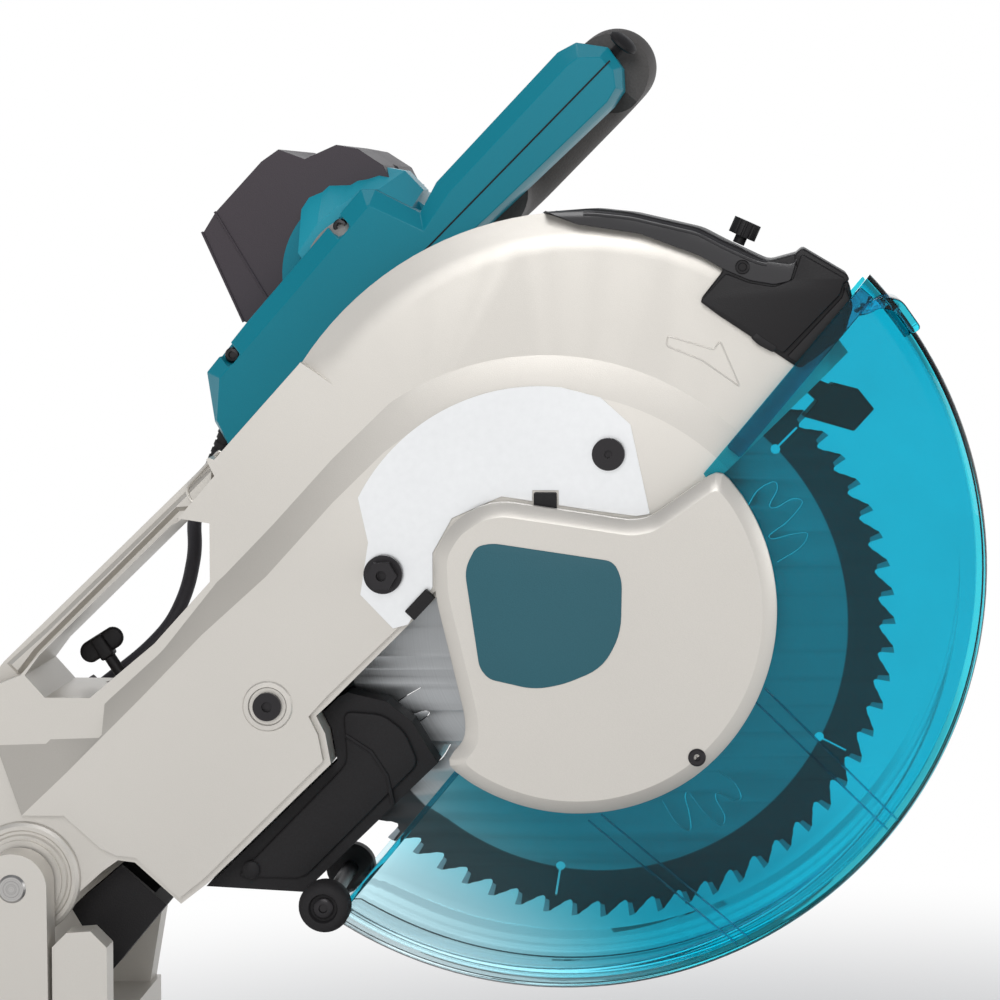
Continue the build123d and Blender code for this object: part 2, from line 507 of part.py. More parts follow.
CAP_ANGLE = 75.0
CAP_SPOT = polar(MOTOR_X, MOTOR_Z, MOTOR_R - 3.0, CAP_ANGLE)
BRUSH_CAP_PLANE = Plane(origin=(BLADE_X + CAP_SPOT[0], 112.0, BLADE_Z + CAP_SPOT[1]), x_dir=(0, 1, 0),
                        z_dir=(cos(radians(CAP_ANGLE)), 0, sin(radians(CAP_ANGLE))))
with BuildPart() as motor_housing:
    disc(MOTOR_X, MOTOR_Z, MOTOR_R, MOTOR_NEAR, MOTOR_FAR)
    disc(MOTOR_X, MOTOR_Z, MOTOR_R - 5.0, MOTOR_NEAR + 3.0, MOTOR_FAR - 3.0, Mode.SUBTRACT)
    disc(MOTOR_X, MOTOR_Z, 15.0, MOTOR_NEAR, MOTOR_NEAR + 3.0, Mode.SUBTRACT)
    disc(MOTOR_X, MOTOR_Z, 20.0, MOTOR_FAR - 14.0, MOTOR_FAR - 3.0)
    disc(MOTOR_X, MOTOR_Z, 15.0, MOTOR_FAR - 14.0, MOTOR_FAR - 3.0, Mode.SUBTRACT)
    with BuildSketch(BRUSH_CAP_PLANE) as cap_ring:
        Circle(9.5)
        Circle(6.0, mode=Mode.SUBTRACT)
    extrude(cap_ring.sketch, amount=8.0)
    fillet(motor_housing.edges().filter_by(lambda e: e.geom_type == GeomType.CIRCLE and
                                           abs(e.radius - MOTOR_R) < 0.1 and e.center().Y > 100), 6.0)
write(motor_housing.part, "motor_housing")

BEARINGS = [(0, 0, 10.0, 20.0, CASE_FAR - CASE_WALL, DRIVE_NEAR + 4.0),
            (0, 0, 10.0, 15.0, DRIVE_FAR - 8.0, DRIVE_FAR - 1.0),
            (MOTOR_X, MOTOR_Z, SHAFT_R, 15.0, DRIVE_FAR - 4.0, MOTOR_NEAR + 3.0),
            (MOTOR_X, MOTOR_Z, SHAFT_R, 15.0, MOTOR_FAR - 14.0, MOTOR_FAR - 4.0)]
with BuildPart() as shaft_bearings:
    for x, z, inside, outside, near, far in BEARINGS:
        disc(x, z, outside, near, far)
        disc(x, z, inside + FIT, near, far, Mode.SUBTRACT)
write(shaft_bearings.part, "shaft_bearings")

BRUSH_Y = 154.0
with BuildPart() as carbon_brushes:
    for angle in (CAP_ANGLE, CAP_ANGLE + 180.0):
        start = polar(MOTOR_X, MOTOR_Z, 14.3, angle)
        brush_plane = Plane(origin=(BLADE_X + start[0], BRUSH_Y, BLADE_Z + start[1]), x_dir=(0, 1, 0),
                            z_dir=(cos(radians(angle)), 0, sin(radians(angle))))
        with BuildSketch(brush_plane) as brush:
            Rectangle(7.0, 11.0)
        extrude(brush.sketch, amount=20.0)
write(carbon_brushes.part, "carbon_brushes")

MOTOR_BOX = [(-213.0, 196.5), (-206.6, 207.0), (-182.2, 233.7), (-173.1, 240.1), (-159.4, 235.0),
             (-142.7, 242.5), (-131.4, 240.4), (-118.0, 231.8), (-113.0, 222.0), (-125.0, 190.0),
             (-165.0, 138.0), (-191.7, 149.7)]
MOTOR_BOX_INSIDE = [(-206.0, 196.0), (-202.0, 204.0), (-178.0, 230.0), (-172.0, 234.0), (-159.4, 229.0),
                    (-142.0, 236.0), (-133.0, 234.5), (-122.0, 227.5), (-121.0, 215.0), (-130.0, 190.0),
                    (-166.0, 144.0), (-188.0, 155.0)]
with BuildPart() as motor_end_cover:
    slab(MOTOR_BOX, 64.0, 176.0)
    slab(MOTOR_BOX_INSIDE, 68.0, 172.0, Mode.SUBTRACT)
    disc(MOTOR_X, MOTOR_Z, MOTOR_R + 0.02, 60.0, 190.0, Mode.SUBTRACT)
    with BuildSketch(BRUSH_CAP_PLANE) as cap_way:
        Circle(9.8)
    extrude(cap_way.sketch, amount=30.0, mode=Mode.SUBTRACT)
write(motor_end_cover.part, "motor_end_cover")

# ---------------------------------------------------------------------- handle housing and grip
SHELL_OUTLINE = [(-202.0, 99.0), (-206.0, 124.5), (-184.2, 151.5), (-125.7, 219.0), (-118.5, 219.0),
                 (-95.0, 207.0), (-86.6, 222.7), (-24.0, 289.2), (-14.4, 294.3), (1.9, 291.8), (9.0, 281.6),
                 (9.5, 270.0), (3.9, 261.8), (-57.6, 203.8), (-191.8, 81.3)]
SHELL_INSIDE = [(-197.0, 102.0), (-201.0, 123.0), (-181.0, 148.0), (-124.0, 214.0), (-119.5, 214.5),
                (-92.0, 200.5), (-83.0, 219.0), (-21.5, 285.0), (-13.5, 289.0), (-0.5, 287.0), (4.5, 279.5),
                (5.0, 271.5), (0.5, 266.0), (-60.0, 208.0), (-190.0, 89.0)]


GLAND_DIR = (-0.447, 0.0, -0.894)
GLAND_PLANE = Plane(origin=(BLADE_X - 193.0, SHELL_SPLIT, BLADE_Z + 98.0), x_dir=(0, 1, 0), z_dir=GLAND_DIR)


def handle_shell(near, far, wall_near):
    """One half of the handle housing: an outline with its outer face closed at wall_near."""
    slab(SHELL_OUTLINE, near, far)
    if wall_near:
        chamfer(faces().sort_by(Axis.Y)[0].outer_wire().edges(), SHELL_BEVEL)
    inner_near = near + SHELL_WALL if wall_near else near
    inner_far = far if wall_near else far - SHELL_WALL
    slab(SHELL_INSIDE, inner_near, inner_far, Mode.SUBTRACT)
    belt_loop(17.0, DRIVE_NEAR - 0.5, DRIVE_FAR + 0.5, Mode.SUBTRACT)
    with BuildSketch(GLAND_PLANE.offset(-7.0)) as gland_hole:
        Circle(6.0)
    extrude(gland_hole.sketch, amount=20.0, mode=Mode.SUBTRACT)


with BuildPart() as handle_shell_left:
    handle_shell(SHELL_NEAR, SHELL_SPLIT, True)
write(handle_shell_left.part, "handle_shell_left")

with BuildPart() as handle_shell_right:
    handle_shell(SHELL_SPLIT, SHELL_FAR, False)
    disc(MOTOR_X, MOTOR_Z, 15.2, SHELL_SPLIT, SHELL_FAR, Mode.SUBTRACT)
write(handle_shell_right.part, "handle_shell_right")

GRIP_OUTER_Y = 104.0
GRIP_TOP, GRIP_BOTTOM, GRIP_FOOT = (15.5, 296.0), (-62.0, 217.0), (0.0, 278.0)
GRIP_MIDDLE = (-26.0, 252.5)
GRIP_ANGLE = degrees(atan2(GRIP_TOP[1] - GRIP_BOTTOM[1], GRIP_TOP[0] - GRIP_BOTTOM[0]))


def head_point(x, z, y):
    """A point on the head, from its place relative to the arbor and its depth."""
    return Vector(BLADE_X + x, y, BLADE_Z + z)


def finger_block(length, width, near, far, mode=Mode.ADD):
    """A block along the grip's bar, where the trigger sits."""
    with BuildSketch(side(far)) as profile:
        with Locations(Location((GRIP_MIDDLE[0], GRIP_MIDDLE[1], 0), (0, 0, GRIP_ANGLE))):
            RectangleRounded(length, width, width * 0.4)
    extrude(profile.sketch, amount=far - near, mode=mode)


grip_start = head_point(*GRIP_FOOT, SHELL_FAR)
grip_corners = [head_point(*GRIP_TOP, GRIP_OUTER_Y), head_point(*GRIP_BOTTOM, GRIP_OUTER_Y)]
with BuildPart() as grip:
    with BuildLine() as grip_path:
        FilletPolyline(grip_start, *grip_corners, head_point(*GRIP_BOTTOM, SHELL_FAR), radius=24.0)
    grip_foot = Plane(origin=grip_start, x_dir=(1, 0, 0), z_dir=grip_corners[0] - grip_start)
    with BuildSketch(grip_foot) as section:
        Circle(GRIP_R)
    sweep(section.sketch, path=grip_path.wires()[0])
    with Locations((BLADE_X + GRIP_FOOT[0], SHELL_FAR - 20.0, BLADE_Z + GRIP_FOOT[1])):
        Box(90.0, 40.0, 90.0, mode=Mode.SUBTRACT)
    finger_block(42.0, 13.0, 80.0, 99.0, Mode.SUBTRACT)
write(grip.part, "grip")

with BuildPart() as trigger:
    finger_block(41.0, 12.0, 77.0, 92.5)
    fillet(trigger.edges().group_by(Axis.Y)[0], 2.0)
write(trigger.part, "trigger")

LEAD_R = 3.7
gland_end = GLAND_PLANE.origin + GLAND_PLANE.z_dir * 28.0
LEAD_ROUTE = [gland_end, gland_end + GLAND_PLANE.z_dir * 14.0, head_point(-214.6, 46.8, 43.5),
              head_point(-213.5, 31.8, 42.0), head_point(-217.0, 12.0, 40.0), head_point(-225.0, -6.0, 38.0),
              head_point(-238.0, -20.0, 36.0), head_point(-262.0, -39.0, 34.0)]


def bend_radii(route):
    """The largest arc that each inner corner of a route leaves room for."""
    radii = []
    for before, corner, after in zip(route, route[1:], route[2:]):
        half_turn = radians((corner - before).get_angle(after - corner)) / 2
        shorter = min((corner - before).length, (after - corner).length)
        radii.append(0.45 * shorter / (sin(half_turn) / cos(half_turn)))
    return radii


LEAD_RADII = bend_radii(LEAD_ROUTE)
print("lead radii", [round(radius, 1) for radius in LEAD_RADII])
with BuildPart() as power_lead:
    with BuildLine() as lead_path:
        FilletPolyline(*LEAD_ROUTE, radius=LEAD_RADII)
    with BuildSketch(Plane(origin=gland_end, x_dir=(0, 1, 0), z_dir=GLAND_PLANE.z_dir)) as lead_section:
        Circle(LEAD_R)
    sweep(lead_section.sketch, path=lead_path.wires()[0])
print("lead volume over section times length",
      round(power_lead.part.volume / (pi * LEAD_R ** 2 * lead_path.wires()[0].length), 4))
write(power_lead.part, "power_lead")

CLAMP_DIR = (LEAD_ROUTE[-1] - LEAD_ROUTE[-2]).normalized()
with BuildPart() as lead_fittings:
    with BuildSketch(GLAND_PLANE.offset(-7.0)) as gland_body:
        Circle(6.0)
    extrude(gland_body.sketch, amount=15.0)
    with BuildSketch(GLAND_PLANE.offset(8.0)) as gland_root:
        Circle(5.5)
    with BuildSketch(GLAND_PLANE.offset(28.0)) as gland_tip:
        Circle(4.2)
    loft(Sketch([gland_root.sketch, gland_tip.sketch]).faces())
    for groove in range(4):
        with BuildSketch(GLAND_PLANE.offset(11.0 + 4.0 * groove)) as gland_groove:
            Circle(7.0)
            Circle(4.6 - 0.2 * groove, mode=Mode.SUBTRACT)
        extrude(gland_groove.sketch, amount=1.6, mode=Mode.SUBTRACT)
    with BuildSketch(Plane(origin=LEAD_ROUTE[-1], x_dir=(0, 1, 0), z_dir=CLAMP_DIR)) as clamp_face:
        RectangleRounded(16.0, 15.0, 2.5)
    extrude(clamp_face.sketch, amount=22.0)
    block(-400, -300, 0, CASE_FAR, 300, 450, Mode.SUBTRACT)
write(lead_fittings.part, "lead_fittings")


with BuildPart() as lock_off_lever:
    disc(8.0, 297.0, 2.5, 50.0, 58.0)
    slab([(5.0, 293.0), (10.0, 291.0), (17.0, 297.0), (19.0, 302.0), (14.0, 306.0), (8.0, 301.0)], 42.0, 56.0)
write(lock_off_lever.part, "lock_off_lever")

# ------------------------------------------------------------- clevis, rails and tilting arm
PIVOT_WX, PIVOT_WZ = BLADE_X + PIVOT_X, BLADE_Z + PIVOT_Z
CLEVIS_TOP = 226.0
with BuildPart() as head_clevis:
    block(-404, -327, -60, 60, 186, CLEVIS_TOP)
    for near in (-CLEVIS_NEAR, CLEVIS_IN):
        with BuildSketch(side(near + 15.0)) as ear:
            with Locations((PIVOT_X, PIVOT_Z)):
                Circle(17.0)
            with BuildLine():
                Polyline((PIVOT_X - 31.0, CLEVIS_TOP - BLADE_Z), (PIVOT_X - 17.0, PIVOT_Z),
                         (PIVOT_X + 17.0, PIVOT_Z),
                         (PIVOT_X + 17.5, CLEVIS_TOP - BLADE_Z), close=True)
            make_face()
        extrude(ear.sketch, amount=15.0)
    slab([(-264.0, -200.0), (-264.0, -151.0), (-257.0, -144.0), (-245.0, -143.0), (-237.0, -151.0),
          (-237.0, -200.0)], -58.0, -45.0)
    slab([(-266.5, -200.0), (-266.5, -116.0), (-229.0, -114.0), (-229.0, -134.0), (-240.0, -200.0)],
         CLEVIS_IN, CLEVIS_NEAR)
    disc(STOP_PIN[0], STOP_PIN[1], STOP_PIN_R + FIT, CLEVIS_IN, CLEVIS_NEAR, Mode.SUBTRACT)
    crossbar(PIVOT_WX, PIVOT_WZ, PIVOT_R, -62, 62, Mode.SUBTRACT)
    for y in (-UPPER_RAIL_Y, UPPER_RAIL_Y):
        bar(y, UPPER_RAIL_Z, UPPER_RAIL_R, -405, -340, Mode.SUBTRACT)
write(head_clevis.part, "head_clevis")

with BuildPart() as pivot_pin:
    crossbar(PIVOT_WX, PIVOT_WZ, PIVOT_R, -61, 61)
    chamfer(pivot_pin.edges(), 1.0)
write(pivot_pin.part, "pivot_pin")

with BuildPart() as return_spring:
    spring_path = Helix(pitch=4.0, height=16.0, radius=18.5,
                        center=(PIVOT_WX, 42.0, PIVOT_WZ), direction=(0, -1, 0))
    with BuildSketch(Plane(origin=spring_path @ 0, z_dir=spring_path % 0)) as wire_section:
        Circle(1.5)
    sweep(wire_section.sketch, path=spring_path)
write(return_spring.part, "return_spring")

with BuildPart() as stopper_pin:
    disc(STOP_PIN[0], STOP_PIN[1], STOP_PIN_R, 44.0, 66.0)
    disc(STOP_PIN[0], STOP_PIN[1], 9.0, 88.0, 100.0)
    disc(STOP_PIN[0], STOP_PIN[1], STOP_PIN_R, 66.0, 88.0)
write(stopper_pin.part, "stopper_pin")

with BuildPart() as wing_screw:
    with BuildSketch(screw_axis) as stem:
        Circle(WING_STEM_R)
    extrude(stem.sketch, amount=28.0)
    with BuildSketch(screw_axis.offset(-7.0)) as wing_head:
        SlotOverall(26.0, 9.0, rotation=90)
    extrude(wing_head.sketch, amount=9.0)
write(wing_screw.part, "wing_screw")

with BuildPart() as upper_rails:
    for y in (-UPPER_RAIL_Y, UPPER_RAIL_Y):
        bar(y, UPPER_RAIL_Z, UPPER_RAIL_R, -712, -340)
        bar(y, UPPER_RAIL_Z, UPPER_RAIL_R - 2.5, -712, -340, Mode.SUBTRACT)
write(upper_rails.part, "upper_rails")

with BuildPart() as rail_bridge:
    block(-724, -698, -58, 58, 188, 222)
    for y in (-UPPER_RAIL_Y, UPPER_RAIL_Y):
        bar(y, UPPER_RAIL_Z, UPPER_RAIL_R, -712, -690, Mode.SUBTRACT)
    fillet(rail_bridge.edges().filter_by(Axis.X), 10.0)
write(rail_bridge.part, "rail_bridge")

with BuildPart() as bevel_arm:
    with BuildSketch(Plane(origin=(-430, 0, BEVEL_Z), x_dir=(0, 1, 0), z_dir=(1, 0, 0))) as arm_face:
        Circle(48.0)
        with BuildLine():
            Polyline((-48, 0), (-46, 20), (-62, 78), (62, 78), (46, 20), (48, 0), close=True)
        make_face()
    extrude(arm_face.sketch, amount=-(457.7 - 430.0))
    block(-545, -430, -62, 62, 178, 232)
    bar(0, BEVEL_Z, 10.0 + FIT, -460, -425, Mode.SUBTRACT)
    for y in (-UPPER_RAIL_Y, UPPER_RAIL_Y):
        bar(y, UPPER_RAIL_Z, UPPER_RAIL_R + 4.0, -550, -425, Mode.SUBTRACT)
    block(-512, -474, -62, 62, 170, 194, Mode.SUBTRACT)
write(bevel_arm.part, "bevel_arm")

with BuildPart() as upper_bearings:
    for y in (-UPPER_RAIL_Y, UPPER_RAIL_Y):
        for x0, x1 in ((-545, -513), (-462, -430)):
            bar(y, UPPER_RAIL_Z, UPPER_RAIL_R + 4.0, x0, x1)
            bar(y, UPPER_RAIL_Z, UPPER_RAIL_R + FIT, x0, x1, Mode.SUBTRACT)
write(upper_bearings.part, "upper_bearings")

with BuildPart() as slide_bracket:
    block(-520, -458, -68, 68, 32, 84)
    bar(0, BEVEL_Z, 50.0, -520, -458)
    block(-525, -450, -80, 80, 20, 32.0, Mode.SUBTRACT)
    bar(0, BEVEL_Z, 10.0, -525, -455, Mode.SUBTRACT)
    for y in (-LOWER_RAIL_Y, LOWER_RAIL_Y):
        bar(y, LOWER_RAIL_Z, LOWER_RAIL_R, -510, -455, Mode.SUBTRACT)
write(slide_bracket.part, "slide_bracket")

with BuildPart() as lower_rails:
    for y in (-LOWER_RAIL_Y, LOWER_RAIL_Y):
        bar(y, LOWER_RAIL_Z, LOWER_RAIL_R, -510, 10)
        bar(y, LOWER_RAIL_Z, LOWER_RAIL_R - 2.5, -510, 10, Mode.SUBTRACT)
write(lower_rails.part, "lower_rails")

with BuildPart() as bevel_bolt:
    bar(0, BEVEL_Z, 10.0, -552, -429)
    bar(0, BEVEL_Z, 17.0, -429, -420)
write(bevel_bolt.part, "bevel_bolt")

with BuildPart() as bevel_lever:
    bar(0, BEVEL_Z, 16.0, -566, -546)
    with BuildSketch(Plane(origin=(-562, 0, BEVEL_Z), x_dir=(0, 1, 0), z_dir=(1, 0, 0))) as lever_arm:
        with Locations((62, 0)):
            SlotOverall(100, 16)
    extrude(lever_arm.sketch, amount=12.0)
    bar(0, BEVEL_Z, 10.0 + FIT, -553, -540, Mode.SUBTRACT)
write(bevel_lever.part, "bevel_lever")

# ------------------------------------------------------------------------------ turntable
SLOT_X0, SLOT_X1 = -140.0, 292.0
DETENT_X, DETENT_Z = 282.0, 24.0
# Two table halves and two end blocks stand round the kerf slot; the frame below joins them.
with BuildPart() as turntable:
    post(0, 0, TABLE_R, 72, TABLE_Z)
    post(0, 0, TABLE_R - 7.0, 72, TABLE_Z - TABLE_T, Mode.SUBTRACT)
    block(160, ARM_X1, -ARM_HALF, ARM_HALF, 84, TABLE_Z)
    block(-170, ARM_X1, -BOARD_HALF, BOARD_HALF, 84, TABLE_Z - TABLE_T)
    block(-TABLE_R - 1, ARM_X1 + 1, -LEDGE, LEDGE, 71, TABLE_Z + 1, Mode.SUBTRACT)
    block(SLOT_X0, SLOT_X1, -BOARD_HALF, BOARD_HALF, 95, TABLE_Z + 1, Mode.SUBTRACT)
    block(170, ARM_X1 + 1, -SPINE_HALF, SPINE_HALF, 71, 84, Mode.SUBTRACT)
    block(-184, SLOT_X0, -LEDGE + FIT, LEDGE - FIT, 84, TABLE_Z)
    block(SLOT_X1, ARM_X1, -LEDGE + FIT, LEDGE - FIT, 84, TABLE_Z)
write(turntable.part, "turntable")

REAR_BEARINGS = ((-166.0, -134.0), (-76.0, -42.0))
with BuildPart() as turntable_frame:
    block(188, ARM_X1, -ARM_HALF, ARM_HALF, 62, 84)
    block(194, ARM_X1 - 8, -ARM_HALF + 6, ARM_HALF - 6, 56, 78, Mode.SUBTRACT)
    block(264, ARM_X1, -28, 28, 34, 70)
    block(-170, 190, -SPINE_HALF, SPINE_HALF, 78, 84)
    for x0, x1 in REAR_BEARINGS:
        block(x0, x1, -26, 26, 76, 84)
        for side_y in (-1, 1):
            block(x0, x1, side_y * LOWER_RAIL_Y - 21, side_y * LOWER_RAIL_Y + 21, 32, TABLE_Z - TABLE_T)
            bar(side_y * LOWER_RAIL_Y, LOWER_RAIL_Z, LOWER_RAIL_R + 4.0, x0, x1, Mode.SUBTRACT)
    post(0, 0, 24, 61, 84)
    post(0, 0, 8 + FIT, 60, 90, Mode.SUBTRACT)
    post(0, 0, 14, 76, 87, Mode.SUBTRACT)
    bar(0, 48, 5 + FIT, 260, ARM_X1 + 1, Mode.SUBTRACT)
    for y0, y1 in ((-17, -10), (10, 17)):
        block(DETENT_X - 8, DETENT_X + 8, y0, y1, 17, 36)
    crossbar(DETENT_X, DETENT_Z, 3 + FIT, -18, 18, Mode.SUBTRACT)
write(turntable_frame.part, "turntable_frame")

with BuildPart() as lower_bearings:
    for y in (-LOWER_RAIL_Y, LOWER_RAIL_Y):
        for x0, x1 in REAR_BEARINGS:
            bar(y, LOWER_RAIL_Z, LOWER_RAIL_R + 4.0, x0, x1)
            bar(y, LOWER_RAIL_Z, LOWER_RAIL_R + FIT, x0, x1, Mode.SUBTRACT)
write(lower_bearings.part, "lower_bearings")

with BuildPart() as kerf_boards:
    for side_y in (-1, 1):
        middle = side_y * (SLOT_HALF + BOARD_HALF) / 2
        half = (BOARD_HALF - SLOT_HALF) / 2
        block(SLOT_X0, SLOT_X1, middle - half, middle + half, 95, TABLE_Z)
write(kerf_boards.part, "kerf_boards")

with BuildPart() as miter_lock_knob:
    bar(0, 48, 5.0, RING_OUT + GAP, 306)
    bar(0, 48, 23.0, 304, 352)
    with BuildSketch(Plane(origin=(352, 0, 48), x_dir=(0, 1, 0), z_dir=(1, 0, 0))) as grip_grooves:
        with PolarLocations(25.0, 8):
            Circle(5.0)
    extrude(grip_grooves.sketch, amount=-40.0, mode=Mode.SUBTRACT)
write(miter_lock_knob.part, "miter_lock_knob")

with BuildPart() as detent_lever:
    block(214, 330, -9, 9, 18, 25)
    crossbar(DETENT_X, DETENT_Z, 6, -9, 9)
    crossbar(DETENT_X, DETENT_Z, 3, -16, 16)
    post(220, 0, 4, 25, 31)
write(detent_lever.part, "detent_lever")

# ------------------------------------------------------------------------------------ base
FOOT_SPOTS = [(45.0, 285.0), (45.0, -285.0), (-250.0, 150.0), (-250.0, -150.0)]
BOLT_SPOTS = [(x * BOLT_SPACING_X / 2, y * BOLT_SPACING_Y / 2) for x in (-1, 1) for y in (-1, 1)]
with BuildPart() as base_casting:
    with BuildSketch(Plane.XY.offset(12)) as ring_wall:
        Circle(RING_OUT)
        Circle(RING_IN, mode=Mode.SUBTRACT)
        with BuildLine():
            Polyline((0, 0), polar(0, 0, 400, 108), polar(0, 0, 600, 70), polar(0, 0, 600, 0),
                     polar(0, 0, 600, -70), polar(0, 0, 400, -108), close=True)
        make_face(mode=Mode.INTERSECT)
    extrude(ring_wall.sketch, amount=RING_TOP - 12)
    for side_y in (-1, 1):
        wall_low, wall_high = sorted((side_y * 140.0, side_y * WING_Y1))
        block(WING_X0, WING_X1, wall_low, wall_high, 12, TABLE_Z)
        hollow_low, hollow_high = sorted((side_y * 100.0, side_y * (WING_Y1 - 6)))
        block(WING_X0 + 6, WING_X1 - 6, hollow_low, hollow_high, 10, TABLE_Z - 6, Mode.SUBTRACT)
        with BuildSketch(Plane.XY.offset(12)) as outrigger:
            with BuildLine():
                Polyline((-120, side_y * 100), (-262, side_y * 132), (-262, side_y * 168),
                         (-90, side_y * 175), close=True)
            make_face()
        extrude(outrigger.sketch, amount=16)
    post(0, 0, RING_IN - 2.5, 20, TABLE_Z + 1, Mode.SUBTRACT)
    # Room behind the ring for the lower rails as the turntable turns.
    sweep_edge = polar(0, 0, RAIL_ROOM, 90 - MITER_MAX)
    near_x, near_y = polar(*sweep_edge, 178, 180 - MITER_MAX)
    far_x, far_y = polar(*sweep_edge, 450, 180 - MITER_MAX)
    with BuildSketch(Plane.XY.offset(30)) as rail_sweep:
        with BuildLine():
            Polyline((near_x, near_y), (far_x, far_y), (-600, far_y), (-600, -far_y), (far_x, -far_y),
                     (near_x, -near_y), close=True)
        make_face()
    extrude(rail_sweep.sketch, amount=46, mode=Mode.SUBTRACT)
    post(0, 0, RING_OUT, 12, 20)
    post(0, 0, 18, 20, 60.7)
    post(0, 0, 8, 5, 65, Mode.SUBTRACT)
    block(264, 400, -60, 60, 10, 30, Mode.SUBTRACT)
    for x, y in BOLT_SPOTS:
        post(x, y, 16, 0, 24)
        block(min(x, x * 0.5), max(x, x * 0.5), y - 12, y + 12, 12, 24)
        post(x, y, BOLT_HOLE_R, -1, 30, Mode.SUBTRACT)
    for x, y in FOOT_SPOTS:
        post(x, y, 24, 12, 28)
write(base_casting.part, "base_casting")

with BuildPart() as rubber_feet:
    for x, y in FOOT_SPOTS:
        post(x, y, 18, 0, 12)
    chamfer(rubber_feet.edges().group_by(Axis.Z)[0], 1.5)
write(rubber_feet.part, "rubber_feet")

with BuildPart() as miter_scale:
    with BuildSketch(Plane.XY.offset(RING_TOP)) as scale_arc:
        Circle(RING_OUT)
        Circle(RING_IN, mode=Mode.SUBTRACT)
        with BuildLine():
            Polyline((0, 0), polar(0, 0, 500, 44), polar(0, 0, 500, 0), polar(0, 0, 500, -44), close=True)
        make_face(mode=Mode.INTERSECT)
    extrude(scale_arc.sketch, amount=1.0)
write(miter_scale.part, "miter_scale")


def fence_plane(x):
    """A plane square to X, with its axes along Y and Z."""
    return Plane(origin=(x, 0, 0), x_dir=(0, 1, 0), z_dir=(1, 0, 0))


def fixed_fence(side_y, top):
    """A low fence that stands on one wing; the taller one has a groove along its top."""
    with BuildSketch(fence_plane(0)) as wall:
        with BuildLine():
            Polyline((side_y * 24, TABLE_Z + GAP), (side_y * 70, top), (side_y * 302, top),
                     (side_y * 302, TABLE_Z + GAP), close=True)
        make_face()
    extrude(wall.sketch, amount=-FENCE_T)
    y_low, y_high = sorted((side_y * 200.0, side_y * 302.0))
    block(-38, 0, y_low, y_high, TABLE_Z, TABLE_Z + 10)
    if top == FENCE_TOP:
        y_low, y_high = sorted((side_y * 68.0, side_y * 303.0))
        block(-7.5, -2.5, y_low, y_high, top - 12, top + 1, Mode.SUBTRACT)
        bar(side_y * 250.0, top - 7, 4 + FIT, -FENCE_T - 1, -7.4, Mode.SUBTRACT)
    for y in (side_y * 225.0, side_y * 282.0):
        post(-26, y, 4, TABLE_Z - 1, TABLE_Z + 11, Mode.SUBTRACT)


def sliding_fence_plate(side_y, inner, outer, top, slope):
    """A taller fence plate with a tongue that slides in the low fence's groove."""
    with BuildSketch(fence_plane(-1.0)) as plate:
        with BuildLine():
            Polyline((side_y * inner, FENCE_TOP + GAP), (side_y * (inner + slope), top),
                     (side_y * outer, top),
                     (side_y * outer, FENCE_TOP + GAP), close=True)
        make_face()
    extrude(plate.sketch, amount=-8.0)
    y_low, y_high = sorted((side_y * (inner + 10), side_y * outer))
    block(-7.0, -3.0, y_low, y_high, FENCE_TOP - 11.5, FENCE_TOP + 1)


def clamp_knob(side_y):
    """A clamp screw with a round knob behind the fence."""
    y = side_y * 250.0
    bar(y, FENCE_TOP - 7, 4.0, -26, -7.6)
    bar(y, FENCE_TOP - 7, 15.0, -38, -22)
    for lobe in range(6):
        angle = radians(60 * lobe)
        bar(y + 16.5 * cos(angle), FENCE_TOP - 7 + 16.5 * sin(angle), 4.0, -39, -21, Mode.SUBTRACT)


with BuildPart() as fixed_fences:
    fixed_fence(-1, FENCE_TOP)
    fixed_fence(1, LOW_FENCE_TOP)
write(fixed_fences.part, "fixed_fences")
with BuildPart() as sliding_fence:
    sliding_fence_plate(-1, 92.0, 290.0, TALL_FENCE_TOP, 45.0)
write(sliding_fence.part, "sliding_fence")
with BuildPart() as fence_knob:
    clamp_knob(-1)
write(fence_knob.part, "fence_knob")

with BuildPart() as base_bolts:
    for side_y in (-1, 1):
        for y in (side_y * 225.0, side_y * 282.0):
            post(-26, y, 3.9, TABLE_Z, TABLE_Z + 11)
            post(-26, y, 7.0, TABLE_Z + 10, TABLE_Z + 17)
            post(-26, y, 3.0, TABLE_Z + 13, TABLE_Z + 18, Mode.SUBTRACT)
    post(0, 0, 8, 3, 78)
    post(0, 0, 13, 76.3, 84)
    post(0, 0, 13, 3, 11.9)
write(base_bolts.part, "base_bolts")
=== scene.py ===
"""Looks for the sliding miter saw: finishes for the CAD nodes and detailed pieces for the saw head."""
from math import acos, asin, atan2, cos, degrees, hypot, pi, radians, sin

import bmesh
import bpy
from mathutils import Matrix, Vector


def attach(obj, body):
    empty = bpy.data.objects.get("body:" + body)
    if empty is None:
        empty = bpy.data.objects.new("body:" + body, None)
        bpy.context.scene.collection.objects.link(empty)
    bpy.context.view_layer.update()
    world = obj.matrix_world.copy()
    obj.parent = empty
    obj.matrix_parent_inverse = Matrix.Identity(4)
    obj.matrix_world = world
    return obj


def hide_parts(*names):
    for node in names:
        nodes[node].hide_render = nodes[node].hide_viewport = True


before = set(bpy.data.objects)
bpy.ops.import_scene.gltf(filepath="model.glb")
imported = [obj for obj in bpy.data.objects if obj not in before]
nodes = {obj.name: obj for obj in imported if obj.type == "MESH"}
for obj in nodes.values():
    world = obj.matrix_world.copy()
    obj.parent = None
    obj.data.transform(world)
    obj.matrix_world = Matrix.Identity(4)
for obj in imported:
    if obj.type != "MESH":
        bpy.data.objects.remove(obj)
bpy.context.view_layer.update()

MM = 0.001
